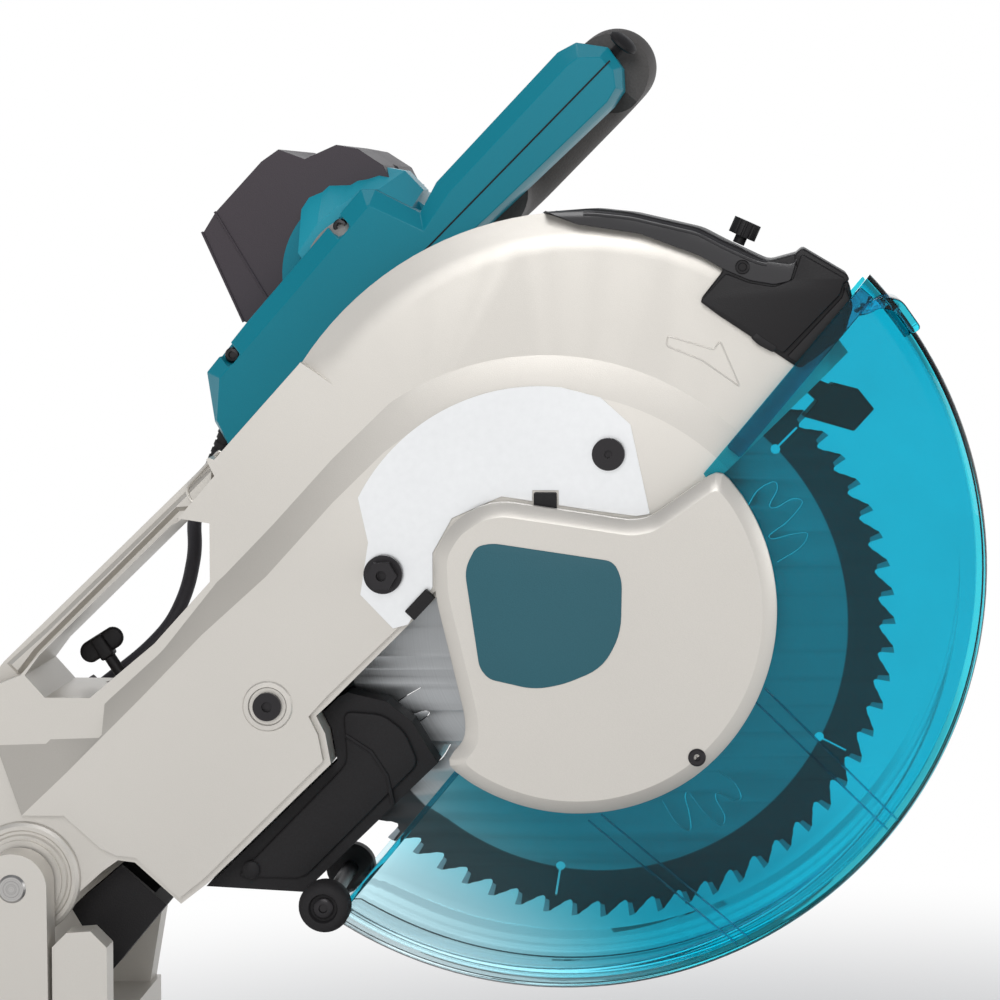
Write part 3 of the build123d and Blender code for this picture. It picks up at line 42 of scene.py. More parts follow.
# The arbor's place in the frame, in mm, and three other axes' places relative to the arbor.
BLADE_X, BLADE_Z = -90.0, 422.0
GUARD_X, GUARD_Z = -16.0, 34.0
MOTOR_X, MOTOR_Z = -125.0, 175.0
ROLLER_X, ROLLER_Z = -131.0, -131.0


# ------------------------------------------------------------------------ camera and light
CAMERA_AWAY = 1.435
CAMERA_AT = (0.0105, -CAMERA_AWAY, 0.6355)
SHIFT = 0.2
VIEW_OFFSET = 0.15 / CAMERA_AWAY  # the frame's centre lies 0.15 m left of the camera and 0.15 m below it
LENS, SENSOR = 103.32, 36.0
aim = VIEW_OFFSET - SHIFT * SENSOR / LENS
camera_data = bpy.data.cameras.new("camera")
camera_data.lens, camera_data.sensor_width = LENS, SENSOR
camera_data.shift_x = camera_data.shift_y = -SHIFT
camera_data.clip_end = 30.0
camera = bpy.data.objects.new("camera", camera_data)
camera.location = CAMERA_AT
camera.rotation_euler = Vector((-aim, 1.0, -aim)).to_track_quat("-Z", "Y").to_euler()
bpy.context.scene.collection.objects.link(camera)
bpy.context.scene.camera = camera


def area_light(name, place, target, size, power):
    """A square soft light that faces a target."""
    data = bpy.data.lights.new(name, "AREA")
    data.shape, data.size, data.energy = "SQUARE", size, power
    lamp = bpy.data.objects.new(name, data)
    lamp.location = place
    lamp.rotation_euler = (Vector(target) - Vector(place)).to_track_quat("-Z", "Y").to_euler()
    bpy.context.scene.collection.objects.link(lamp)


HEAD_AT = (-0.12, 0.0, 0.5)
area_light("key", (-0.2, -1.7, 1.45), (0.0, 0.0, 0.64), 0.8, 14.0)
area_light("top", (-0.5, 0.3, 2.3), HEAD_AT, 0.9, 7.0)
area_light("right", (1.9, -0.5, 0.9), HEAD_AT, 0.8, 5.0)
area_light("back", (-0.6, 2.3, 1.2), HEAD_AT, 1.4, 4.0)

# The studio is white up to a little above the horizon and grey overhead.
world = bpy.data.worlds.new("studio")
bpy.context.scene.world = world
world.use_nodes = True
world_nodes, world_links = world.node_tree.nodes, world.node_tree.links
sky_coord = world_nodes.new("ShaderNodeTexCoord")
sky_split = world_nodes.new("ShaderNodeSeparateXYZ")
sky_ramp = world_nodes.new("ShaderNodeValToRGB")
sky_low, sky_high = sky_ramp.color_ramp.elements
sky_low.position, sky_low.color = 0.13, (1.0, 1.0, 1.0, 1)
sky_high.position, sky_high.color = 0.36, (0.30, 0.31, 0.33, 1)
world_links.new(sky_coord.outputs["Generated"], sky_split.inputs[0])
world_links.new(sky_split.outputs["Z"], sky_ramp.inputs[0])
world_links.new(sky_ramp.outputs[0], world_nodes["Background"].inputs[0])
world_nodes["Background"].inputs[1].default_value = 1.0
bpy.context.scene.view_settings.view_transform = "Standard"


# ------------------------------------------------------------------------------- materials
def new_material(name):
    """An empty Principled material, with its node tree and shader."""
    made = bpy.data.materials.new(name)
    made.use_nodes = True
    return made, made.node_tree, made.node_tree.nodes["Principled BSDF"]


def object_coords(tree):
    """A place on the piece, in metres."""
    return tree.nodes.new("ShaderNodeTexCoord").outputs["Object"]


def noise(tree, scale, detail=3.0, stretch=(1, 1, 1)):
    """Noise over the piece, in object space."""
    mapping = tree.nodes.new("ShaderNodeMapping")
    mapping.inputs["Scale"].default_value = stretch
    tree.links.new(object_coords(tree), mapping.inputs["Vector"])
    texture = tree.nodes.new("ShaderNodeTexNoise")
    texture.inputs["Scale"].default_value = scale
    texture.inputs["Detail"].default_value = detail
    tree.links.new(mapping.outputs[0], texture.inputs["Vector"])
    return texture.outputs["Fac"]


def value_math(tree, operation, first, second):
    """A sum or product of a value and another value or number."""
    made = tree.nodes.new("ShaderNodeMath")
    made.operation = operation
    tree.links.new(first, made.inputs[0])
    if isinstance(second, float):
        made.inputs[1].default_value = second
    else:
        tree.links.new(second, made.inputs[1])
    return made.outputs[0]


def vector_math(tree, operation, vector, other=None):
    """A vector operation with a fixed second vector, as its node."""
    made = tree.nodes.new("ShaderNodeVectorMath")
    made.operation = operation
    if other:
        made.inputs[1].default_value = other
    tree.links.new(vector, made.inputs[0])
    return made


def ramp(tree, source, low, high, colours):
    """A colour ramp between two levels of a value. A colour may be a single grey level."""
    made = tree.nodes.new("ShaderNodeValToRGB")
    for stop, position, colour in zip(made.color_ramp.elements, (low, high), colours):
        stop.position = position
        stop.color = (*colour, 1) if isinstance(colour, tuple) else (colour, colour, colour, 1)
    tree.links.new(source, made.inputs[0])
    return made.outputs[0]


def fade(tree, value, start, end, kind="SMOOTHSTEP"):
    """Rises from 0 to 1 as a value goes from start to end."""
    made = tree.nodes.new("ShaderNodeMapRange")
    made.interpolation_type = kind
    made.inputs["From Min"].default_value, made.inputs["From Max"].default_value = start, end
    tree.links.new(value, made.inputs["Value"])
    return made.outputs[0]


def blend_to(tree, factor, tint, colour):
    """A tint that turns into a plain colour as the factor goes from 0 to 1."""
    mix = tree.nodes.new("ShaderNodeMix")
    mix.data_type = "RGBA"
    tree.links.new(factor, mix.inputs["Factor"])
    tree.links.new(tint, mix.inputs[6])
    mix.inputs[7].default_value = (*colour, 1)
    return mix.outputs[2]


def bump(tree, shader, height, distance):
    """Bump from a height value, in metres."""
    made = tree.nodes.new("ShaderNodeBump")
    made.inputs["Distance"].default_value = distance
    made.inputs["Strength"].default_value = 1.0
    tree.links.new(height, made.inputs["Height"])
    tree.links.new(made.outputs[0], shader.inputs["Normal"])


def shades(colour, spread):
    """A colour made darker and lighter by a fraction."""
    return [tuple(min(1.0, part * factor) for part in colour) for factor in (1 - spread, 1 + spread)]


def grained(name, colour, roughness, grain, depth, metallic=0.0, spread=0.06, stretch=(1, 1, 1),
            specular=0.5):
    """A moulded, cast or painted finish: fine grain, slight cloudiness and uneven gloss."""
    made, tree, shader = new_material(name)
    fine = noise(tree, grain, 2.0, stretch)
    broad = noise(tree, 9.0, 4.0)
    both = value_math(tree, "MULTIPLY", value_math(tree, "ADD", fine, broad), 0.5)
    tree.links.new(ramp(tree, both, 0.3, 0.7, shades(colour, spread)), shader.inputs["Base Color"])
    gloss = ramp(tree, broad, 0.3, 0.7, (roughness * 0.9, roughness * 1.1))
    tree.links.new(gloss, shader.inputs["Roughness"])
    shader.inputs["Metallic"].default_value = metallic
    shader.inputs["Specular IOR Level"].default_value = specular
    bump(tree, shader, fine, depth)
    return made


def turned(name, colour, roughness, centre, spread=0.12, zones=None):
    """Steel ground in rings about an axis along Y; zones = (radius, colour) darkens what lies outside."""
    made, tree, shader = new_material(name)
    flat = vector_math(tree, "MULTIPLY", object_coords(tree), (1, 0, 1)).outputs[0]
    away = vector_math(tree, "DISTANCE", flat, (centre[0], 0, centre[1])).outputs["Value"]
    rings = tree.nodes.new("ShaderNodeTexNoise")
    rings.noise_dimensions = "1D"
    rings.inputs["Scale"].default_value = 1400.0
    rings.inputs["Detail"].default_value = 2.0
    tree.links.new(away, rings.inputs["W"])
    tint = ramp(tree, rings.outputs["Fac"], 0.3, 0.7, shades(colour, spread))
    if zones:
        radius, outside = zones
        tint = blend_to(tree, fade(tree, away, radius - 0.0004, radius + 0.0004, "LINEAR"), tint, outside)
    tree.links.new(tint, shader.inputs["Base Color"])
    gloss = ramp(tree, rings.outputs["Fac"], 0.2, 0.8, (roughness * 0.8, roughness * 1.2))
    tree.links.new(gloss, shader.inputs["Roughness"])
    shader.inputs["Metallic"].default_value = 1.0
    bump(tree, shader, rings.outputs["Fac"], 0.00002)
    return made


def clear_tint(name, colour, roughness, painted_reflection=None):
    """A clear tinted moulding, slightly hazed; painted_reflection is a paler tint, painted towards its lower
    rear end as a reflection of light.
    """
    made, tree, shader = new_material(name)
    haze = noise(tree, 22.0, 5.0)
    tint = ramp(tree, haze, 0.3, 0.75, shades(colour, 0.03))
    # Painted reflection: the tint pales towards the lower rear end.
    if painted_reflection:
        along = vector_math(tree, "DOT_PRODUCT", object_coords(tree), (-0.707, 0, -0.707))
        tint = blend_to(tree, fade(tree, along.outputs["Value"], -0.165, -0.055), tint, painted_reflection)
    tree.links.new(tint, shader.inputs["Base Color"])
    gloss = ramp(tree, haze, 0.4, 0.8, (roughness, roughness * 2.0))
    tree.links.new(gloss, shader.inputs["Roughness"])
    shader.inputs["Transmission Weight"].default_value = 1.0
    shader.inputs["IOR"].default_value = 1.3
    return made


champagne = grained("champagne_paint", (0.62, 0.592, 0.548), 0.40, 2600.0, 0.00005, metallic=0.55,
                    spread=0.04)
dark_cast = grained("grey_casting", (0.30, 0.295, 0.285), 0.5, 1800.0, 0.00008, metallic=0.4)
machined = grained("machined_aluminium", (0.60, 0.605, 0.61), 0.33, 700.0, 0.00003, metallic=0.9,
                   stretch=(0.12, 1, 1))
teal = grained("teal_moulding", (0.002, 0.195, 0.265), 0.38, 2200.0, 0.00004, spread=0.06, specular=0.2)
teal_bright = grained("teal_moulding_light", (0.012, 0.30, 0.40), 0.35, 2200.0, 0.00004, specular=0.3)
dark = grained("dark_moulding", (0.010, 0.009, 0.010), 0.42, 1800.0, 0.00006, spread=0.12, specular=0.25)
brown = grained("brown_moulding", (0.052, 0.042, 0.050), 0.45, 1800.0, 0.00006, spread=0.08, specular=0.25)
soft_grip = grained("soft_grip", (0.075, 0.070, 0.068), 0.62, 900.0, 0.0002, spread=0.15, specular=0.3)
rubber = grained("black_rubber", (0.014, 0.013, 0.014), 0.6, 1200.0, 0.00008, spread=0.2, specular=0.25)
lead_rubber = grained("lead_rubber", (0.03, 0.028, 0.034), 0.5, 900.0, 0.00005, spread=0.15, specular=0.3)
insert = grained("insert_moulding", (0.022, 0.105, 0.135), 0.5, 1500.0, 0.00012, spread=0.1, specular=0.3)
zinc = grained("zinc_plate", (0.80, 0.81, 0.82), 0.30, 260.0, 0.00002, metallic=0.85, spread=0.03)
black_steel = grained("blackened_steel", (0.028, 0.026, 0.028), 0.35, 1500.0, 0.00003, metallic=0.7)
bronze = grained("sintered_bronze", (0.42, 0.27, 0.12), 0.45, 2000.0, 0.00005, metallic=0.9)
spring_steel = grained("spring_steel", (0.35, 0.35, 0.36), 0.3, 900.0, 0.00002, metallic=1.0)
carbon = grained("pressed_carbon", (0.03, 0.03, 0.03), 0.7, 1500.0, 0.0001)
belt_rubber = grained("belt_rubber", (0.03, 0.03, 0.03), 0.7, 700.0, 0.0002)
scale_paint = grained("scale_plate", (0.62, 0.62, 0.60), 0.35, 1200.0, 0.00002, metallic=0.5)
chrome = grained("chromed_rail", (0.62, 0.62, 0.64), 0.14, 600.0, 0.00001, metallic=1.0, spread=0.03,
                 stretch=(0.05, 1, 1))
blade_steel = turned("blade_steel", (0.36, 0.37, 0.38), 0.36, (BLADE_X * MM, BLADE_Z * MM), spread=0.05,
                     zones=(0.1275, (0.055, 0.057, 0.06)))
bare_steel = turned("bare_steel", (0.5, 0.5, 0.5), 0.28, (BLADE_X * MM, BLADE_Z * MM))
pivot_steel = turned("pivot_steel", (0.42, 0.41, 0.40), 0.3,
                     ((BLADE_X - 283) * MM, (BLADE_Z - 122) * MM), spread=0.2)
carbide = grained("carbide_tip", (0.35, 0.35, 0.37), 0.3, 900.0, 0.00002, metallic=1.0)
# The guard's pale last colour is a painted reflection towards its lower rear end.
guard_clear = clear_tint("guard_polycarbonate", (0.04, 0.64, 0.77), 0.03, (0.78, 0.95, 0.99))
guard_edge = clear_tint("guard_thick_edge", (0.02, 0.50, 0.62), 0.05)

FINISHES = [
    (champagne, "upper_case centre_cover head_clevis"),
    (dark_cast, "base_casting slide_bracket bevel_arm rail_bridge drive_housing drive_cover"),
    (machined, "turntable turntable_frame fixed_fences sliding_fence"),
    (chrome, "lower_rails upper_rails roller_pin"),
    (pivot_steel, "pivot_pin"),
    (bare_steel, "arbor blade_flanges blade_bolt shaft_bearings rotor stator"),
    (spring_steel, "return_spring"),
    (blade_steel, "saw_blade"),
    (black_steel, "base_bolts bevel_bolt case_bolts"),
    (teal, "handle_shell_left handle_shell_right motor_housing"),
    (dark, "laser_housing laser_knob fence_knob miter_lock_knob detent_lever bevel_lever lock_off_lever "
           "wing_screw stopper_pin trigger shaft_lock_button laser_module"),
    (brown, "motor_end_cover"),
    (insert, "cover_insert"),
    (guard_clear, "lower_guard"),
    (zinc, "link_plate"),
    (rubber, "rubber_feet guard_bumpers guard_rollers dust_ducting lead_fittings"),
    (lead_rubber, "power_lead"),
    (soft_grip, "grip"),
    (belt_rubber, "drive_belt"),
    (bronze, "lower_bearings upper_bearings"),
    (carbon, "carbon_brushes"),
    (scale_paint, "miter_scale"),
    (brown, "kerf_boards"),
]
for finish, names in FINISHES:
    for name in names.split():
        node_mesh = nodes[name].data
        if not node_mesh.materials:
            node_mesh.materials.append(finish)
        for index in range(len(node_mesh.materials)):
            node_mesh.materials[index] = finish

# Edges of castings and mouldings are rounded a little, more on the large castings.
EDGE_ROUNDS = [
    (1.4, "upper_case head_clevis base_casting slide_bracket bevel_arm rail_bridge centre_cover"),
    (0.8, "handle_shell_right drive_housing drive_cover turntable turntable_frame fixed_fences sliding_fence "
          "bevel_lever miter_lock_knob wing_screw stopper_pin motor_end_cover laser_module fence_knob"),
    (0.5, "trigger lock_off_lever laser_knob detent_lever kerf_boards case_bolts base_bolts "
          "guard_bumpers cover_insert lead_fittings bevel_bolt"),
]


def soften(piece, width):
    """Rounded edges and clean shading from modifiers; width is in mm."""
    weld = piece.modifiers.new("weld", "WELD")
    weld.merge_threshold = 0.00002
    edge = piece.modifiers.new("edge_round", "BEVEL")
    edge.width, edge.segments, edge.limit_method = width * MM, 2, "ANGLE"
    edge.angle_limit = radians(30)
    edge.harden_normals = False
    edge.use_clamp_overlap = True
    even = piece.modifiers.new("even_normals", "WEIGHTED_NORMAL")
    even.keep_sharp = False


for width, names in EDGE_ROUNDS:
    for name in names.split():
        soften(nodes[name], width)


# -------------------------------------------------------------------------- shape helpers
def spot(x, z, y):
    """A point on the head, from its place relative to the arbor and its depth, in metres."""
    return Vector(((BLADE_X + x) * MM, y * MM, (BLADE_Z + z) * MM))


def polar(x, z, radius, angle):
    """A point at a distance and angle from x, z."""
    return (x + radius * cos(radians(angle)), z + radius * sin(radians(angle)))


def arc(x, z, radius, start, end, count):
    """Points along an arc, both ends counted."""
    return [polar(x, z, radius, start + (end - start) * step / (count - 1)) for step in range(count)]


def rounded(points, radius, count=5):
    """A polygon with its corners rounded by arcs that start radius away from each corner."""
    out = []
    for index, point in enumerate(points):
        before, after = Vector(points[index - 1]), Vector(points[(index + 1) % len(points)])
        corner = Vector(point)
        size = min(radius, (before - corner).length * 0.45, (after - corner).length * 0.45)
        start = corner + (before - corner).normalized() * size
        end = corner + (after - corner).normalized() * size
        for step in range(count):
            t = step / (count - 1)
            out.append(tuple(start * (1 - t) ** 2 + corner * 2 * t * (1 - t) + end * t ** 2))
    return out


def inset(points, distance):
    """A polygon moved inwards, with the same number of points. The distance may be a list, one per point."""
    area = sum(a[0] * b[1] - b[0] * a[1] for a, b in zip(points, points[1:] + points[:1]))
    side = 1.0 if area > 0 else -1.0
    distances = distance if isinstance(distance, list) else [distance] * len(points)
    out = []
    for index, point in enumerate(points):
        a, b, c = Vector(points[index - 1]), Vector(point), Vector(points[(index + 1) % len(points)])
        first, second = (b - a).normalized(), (c - b).normalized()
        n1, n2 = Vector((-first.y, first.x)) * side, Vector((-second.y, second.x)) * side
        middle = n1 + n2
        scale = 1.0 / max(0.35, middle.dot(n1))
        out.append(tuple(b + middle * distances[index] * scale))
    return out


def finish_mesh(name, mesh, finish, body, angle=32.0):
    """Turns a mesh into a shown piece that rides on a body."""
    mesh.name = name
    mesh.materials.append(finish)
    piece = bpy.data.objects.new(name, mesh)
    bpy.context.scene.collection.objects.link(piece)
    mesh.shade_smooth()
    mesh.set_sharp_from_angle(angle=radians(angle))
    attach(piece, body)
    return piece


def bmesh_to_mesh(name, builder):
    """Cleans a bmesh and returns it as a mesh."""
    bmesh.ops.remove_doubles(builder, verts=builder.verts, dist=0.000002)
    bmesh.ops.recalc_face_normals(builder, faces=builder.faces)
    mesh = bpy.data.meshes.new(name)
    builder.to_mesh(mesh)
    builder.free()
    return mesh


def curve_mesh(loops, thickness, bevel):
    """A flat plate with rounded rims from closed loops, the first outside and the rest holes."""
    data = bpy.data.curves.new("outline", "CURVE")
    data.dimensions, data.fill_mode = "2D", "BOTH"
    data.extrude = (thickness / 2 - bevel) * MM
    data.bevel_depth, data.bevel_resolution, data.offset = bevel * MM, 2, -bevel * MM
    for loop in loops:
        spline = data.splines.new("POLY")
        spline.points.add(len(loop) - 1)
        for point, place in zip(spline.points, loop):
            point.co = (place[0] * MM, place[1] * MM, 0, 1)
        spline.use_cyclic_u = True
    holder = bpy.data.objects.new("outline", data)
    bpy.context.scene.collection.objects.link(holder)
    mesh = bpy.data.meshes.new_from_object(holder)
    bpy.data.objects.remove(holder)
    return mesh


def add_plate(builder, loops, near, far, bevel):
    """Adds a plate parallel to the blade, between two depths, to a bmesh."""
    mesh = curve_mesh(loops, far - near, bevel)
    place = Matrix(((1, 0, 0, BLADE_X * MM), (0, 0, -1, (near + far) / 2 * MM),
                    (0, 1, 0, BLADE_Z * MM), (0, 0, 0, 1)))
    mesh.transform(place)
    builder.from_mesh(mesh)
    bpy.data.meshes.remove(mesh)


def add_loft(builder, loops):
    """Adds a closed skin with flat ends over loops of the same number of 3-D points, in metres."""
    rings = [[builder.verts.new(point) for point in loop] for loop in loops]
    for low, high in zip(rings, rings[1:]):
        for index in range(len(low)):
            follow = (index + 1) % len(low)
            builder.faces.new((low[index], low[follow], high[follow], high[index]))
    builder.faces.new(rings[0])
    builder.faces.new(list(reversed(rings[-1])))


def ring_at(points, y):
    """A loop of head points at one depth."""
    return [spot(x, z, y) for x, z in points]


def add_tube(builder, path, radius, sides=10, closed=False):
    """A round bead along 3-D points, in metres."""
    data = bpy.data.curves.new("bead", "CURVE")
    data.dimensions, data.bevel_depth, data.bevel_resolution = "3D", radius * MM, max(1, sides // 4)
    data.use_fill_caps = not closed
    spline = data.splines.new("POLY")
    spline.points.add(len(path) - 1)
    for point, place in zip(spline.points, path):
        point.co = (*place, 1)
    spline.use_cyclic_u = closed
    holder = bpy.data.objects.new("bead", data)
    bpy.context.scene.collection.objects.link(holder)
    mesh = bpy.data.meshes.new_from_object(holder)
    bpy.data.objects.remove(holder)
    builder.from_mesh(mesh)
    bpy.data.meshes.remove(mesh)


def add_turned(builder, centre, axis, profile, count=48):
    """Adds a turned solid: profile is (radius, distance along the axis) from one end to the other, in mm."""
    axis = Vector(axis).normalized()
    side = axis.orthogonal().normalized()
    other = axis.cross(side)
    turns = [side * cos(2 * pi * k / count) + other * sin(2 * pi * k / count) for k in range(count)]
    add_loft(builder, [[Vector(centre) + axis * along * MM + out * max(radius, 0.01) * MM for out in turns]
                       for radius, along in profile])


# ------------------------------------------------------------------------------- saw blade
TEETH, BLADE_R, ROOT = 64, 152.5, 144.0
PITCH = 360.0 / TEETH


def blade_outline():
    """The toothed rim, each tooth with a carbide seat, a sloping back and a round gullet."""
    profile = [(ROOT + 0.6, -0.13), (ROOT, -0.05), (ROOT + 0.8, 0.03), (BLADE_R - 3.6, 0.06),
               (BLADE_R - 0.2, 0.07), (BLADE_R - 1.0, 0.30), (BLADE_R - 2.6, 0.40), (ROOT + 3.4, 0.62),
               (ROOT + 1.6, 0.74)]
    return [polar(0, 0, radius, tooth * PITCH + PITCH * part) for tooth in range(TEETH)
            for radius, part in profile]


def keyhole(angle):
    """A relief slot: a round hole with a narrow neck out towards the rim."""
    hole_r, neck = 2.5, 0.55
    x, z = polar(0, 0, 127.0, angle)
    spread = degrees(asin(neck / hole_r))
    body = [polar(x, z, hole_r, angle + spread + (360 - 2 * spread) * k / 20) for k in range(21)]
    across = Vector((-sin(radians(angle)), cos(radians(angle)))) * neck
    far = Vector(polar(0, 0, 143.0, angle))
    return body + [tuple(far - across), tuple(far + across)]


def waved_slot(angle):
    """A thin damping slot that winds like a wave."""
    line = [(-16, 96), (-13, 110), (-8, 116), (-5, 108), (-3, 99), (0, 98), (2, 110), (6, 121), (10, 118),
            (11, 108), (14, 106), (18, 114), (22, 115), (24, 106), (21, 97)]
    turned_line = [Vector(polar(0, 0, out, angle + degrees(sideways / 110))) for sideways, out in line]
    smooth = []
    for k in range(len(turned_line) - 1):
        p0, p1 = turned_line[max(k - 1, 0)], turned_line[k]
        p2, p3 = turned_line[k + 1], turned_line[min(k + 2, len(turned_line) - 1)]
        for step in range(5):
            t = step / 5
            smooth.append(0.5 * ((2 * p1) + (p2 - p0) * t + (2 * p0 - 5 * p1 + 4 * p2 - p3) * t * t
                                 + (3 * p1 - p0 - 3 * p2 + p3) * t ** 3))
    smooth.append(turned_line[-1])
    left, right = [], []
    for k, point in enumerate(smooth):
        way = (smooth[min(k + 1, len(smooth) - 1)] - smooth[max(k - 1, 0)]).normalized()
        across = Vector((-way.y, way.x)) * 0.22
        left.append(tuple(point + across))
        right.append(tuple(point - across))
    return left + right[::-1]


blade_work = bmesh.new()
bore = arc(0, 0, 12.72, 0, 360, 49)[:-1]
slots = [keyhole(-27 + 72 * k) for k in range(5)] + [waved_slot(-62 + 90 * k) for k in range(4)]
add_plate(blade_work, [blade_outline(), bore] + slots, -1.05, 1.05, 0.08)
blade_disc = finish_mesh("blade_disc", bmesh_to_mesh("blade_disc", blade_work), blade_steel, "blade", 40.0)
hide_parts("saw_blade")

tips = bmesh.new()
for tooth in range(TEETH):
    start = tooth * PITCH
    tip = [polar(0, 0, BLADE_R - 7.0, start + PITCH * 0.045), polar(0, 0, BLADE_R, start + PITCH * 0.05),
           polar(0, 0, BLADE_R - 0.7, start + PITCH * 0.25), polar(0, 0, BLADE_R - 6.6, start + PITCH * 0.20)]
    add_loft(tips, [ring_at(tip, -1.5), ring_at(tip, 1.5)])
finish_mesh("blade_tips", bmesh_to_mesh("blade_tips", tips), carbide, "blade")

# ------------------------------------------------------------------------------ lower guard
CHORD_ANGLE, CHORD_OFF = 50.2, 23.7
chord_way = Vector((cos(radians(CHORD_ANGLE)), sin(radians(CHORD_ANGLE))))
chord_in = Vector((chord_way.y, -chord_way.x))
GUARD_SECTION = [(84, -46), (193, -46), (194, -46.7), (197, -46.7), (198, -46), (201.5, -45.4),
                 (205.2, -43.4), (207.4, -40), (208, -36), (208, -12), (207, -11), (207, -7), (208, -6),
                 (208, 19), (206.6, 23.6), (203.4, 26.4), (199, 27), (79, 27), (79, 24), (199, 24),
                 (202.6, 22.6), (204.6, 19), (204.6, -36), (203.8, -39.6), (201.4, -42.4), (198, -43),
                 (84, -43)]


def chord_point(along, into):
    """A point along the guard's straight edge, moved square to it towards the guard's inside."""
    return tuple(Vector((GUARD_X, GUARD_Z)) + chord_way * along + chord_in * (CHORD_OFF + into))


guard_work = bmesh.new()
STEPS = 220
section_rings = []
for step in range(STEPS):
    turn = 2 * pi * step / STEPS
    section_rings.append([guard_work.verts.new(spot(GUARD_X + r * cos(turn), GUARD_Z + r * sin(turn), y))
                          for r, y in GUARD_SECTION])
for step in range(STEPS):
    here, there = section_rings[step], section_rings[(step + 1) % STEPS]
    for index in range(len(GUARD_SECTION)):
        follow = (index + 1) % len(GUARD_SECTION)
        guard_work.faces.new((here[index], here[follow], there[follow], there[index]))
cut_at = spot(*chord_point(0, 0), 0)
cut_normal = Vector((-chord_in.x, 0, -chord_in.y))
bmesh.ops.bisect_plane(guard_work, geom=guard_work.verts[:] + guard_work.edges[:] + guard_work.faces[:],
                       dist=1e-7, plane_co=cut_at, plane_no=cut_normal, clear_outer=True)
open_edges = [edge for edge in guard_work.edges if len(edge.link_faces) == 1]
bmesh.ops.triangle_fill(guard_work, edges=open_edges, use_beauty=True)
guard_shell = finish_mesh("guard_shell", bmesh_to_mesh("guard_shell", guard_work), guard_clear, "lower_guard",
                          35.0)
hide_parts("lower_guard")

guard_trim = bmesh.new()
edge_strip = [chord_point(98, 0.2), chord_point(199, 0.2), chord_point(199, 8.6), chord_point(98, 8.6)]
add_plate(guard_trim, [rounded(edge_strip, 1.0, 3)], -48.6, -46.2, 0.5)
low_strip = [chord_point(-203, 0.2), chord_point(-86, 0.2), chord_point(-86, 2.6), chord_point(-203, 2.6)]
add_plate(guard_trim, [low_strip], -48.6, -46.2, 0.4)
hook = [(128, 157.5), (132, 163.5), (139, 167.5), (150, 165), (159.5, 151.5), (154.5, 148.5), (147.5, 159),
        (139.5, 161.5), (134.5, 158.5)]
add_plate(guard_trim, [rounded(hook, 3.0)], -46.5, 26.5, 0.8)
for start, end in (((83.6, -23.7), (148.5, -88.0)), ((78.2, -29.5), (143.5, -92.5)),
                   ((3.7, -86.0), (77.0, -147.0)), ((-2.5, -89.0), (70.5, -149.5))):
    way = (Vector(end) - Vector(start)).normalized()
    across = Vector((-way.y, way.x)) * 0.45
    rib = [Vector(start) - across, Vector(end) - across, Vector(end) + across, Vector(start) + across]
    add_plate(guard_trim, [[tuple(p) for p in rib]], -46.9, -46.02, 0.2)
finish_mesh("guard_ribs", bmesh_to_mesh("guard_ribs", guard_trim), guard_edge, "lower_guard", 35.0)

# ------------------------------------------------------------------------- raised arm panel
panel_work = bmesh.new()
slope_foot = arc(-23.6, 2, 138, 42.3, 124, 26) + [
    (-129, 89), (-158, 57), (-185, 29), (-214.5, -8), (-242, -33), (-243, -49.5), (-270, -50.5),
    (-298, -51.5)]
slope_top = arc(-23.6, -5, 125, 44.4, 119.2, 26) + [
    (-103, 90), (-128, 65.5), (-161, 29), (-193, 0), (-224, -32), (-243, -51), (-262, -70), (-283, -90)]
underside = [(-262, -90), (-244, -106), (-236, -109.5), (-226.5, -110.5), (-205, -130.5), (-192, -120),
             (-133.5, -62), (-136, -49), (-140.5, -40), (-131.5, -30), (-91, 9), (-77.5, 22.5), (-66, 20),
             (27, 46.5)]
PANEL_TOP, CASE_FACE = -41.2, -37.6
add_loft(panel_work, [ring_at(slope_foot + underside, CASE_FACE), ring_at(slope_top + underside, PANEL_TOP)])
arm_panel = finish_mesh("arm_panel", bmesh_to_mesh("arm_panel", panel_work), champagne, "head", 20.0)
# The sloping band beside the panel carries painted shade: a darker copy of the paint, darker along the arm,
# whose darkening fades out over the case.
band_painted_shade = champagne.copy()
band_painted_shade.name = "champagne_band_painted_shade"
band_tree = band_painted_shade.node_tree
band_base = band_tree.nodes["Principled BSDF"].inputs["Base Color"]
band_split = band_tree.nodes.new("ShaderNodeSeparateXYZ")
band_tree.links.new(object_coords(band_tree), band_split.inputs[0])
band_shade_tone = ramp(band_tree, fade(band_tree, band_split.outputs["X"], -0.27, -0.15), 0.0, 1.0,
                 ((0.66, 0.655, 0.65), 0.88))
band_mix = band_tree.nodes.new("ShaderNodeMix")
band_mix.data_type, band_mix.blend_type = "RGBA", "MULTIPLY"
band_mix.inputs["Factor"].default_value = 1.0
band_tree.links.new(band_base.links[0].from_socket, band_mix.inputs[6])
band_tree.links.new(band_shade_tone, band_mix.inputs[7])
band_tree.links.new(band_mix.outputs[2], band_base)
arm_panel.data.materials.append(band_painted_shade)
# The sloped sides that face upwards take the painted-shade paint.
for side in arm_panel.data.polygons:
    if side.normal.z > 0.02 and side.normal.y > -0.998:
        side.material_index = 1
arrow = bmesh.new()
arrow_line = rounded([(36.2, 147.3), (58.6, 140.5), (61.6, 144.9), (71.3, 122.5), (52.5, 135.6),
                      (35.3, 142.4)], 1.5)
add_tube(arrow, [spot(x, z, -38.0) for x, z in arrow_line], 0.4, 8, True)
add_turned(arrow, spot(-160.6, -35.0, -41.1), (0, -1, 0),
           [(12.5, 0), (12.5, 0.2), (11.8, 1.0), (9.6, 1.2), (9.0, 0.4), (0, 0.4)])
finish_mesh("case_marks", bmesh_to_mesh("case_marks", arrow), champagne, "head", 35.0)

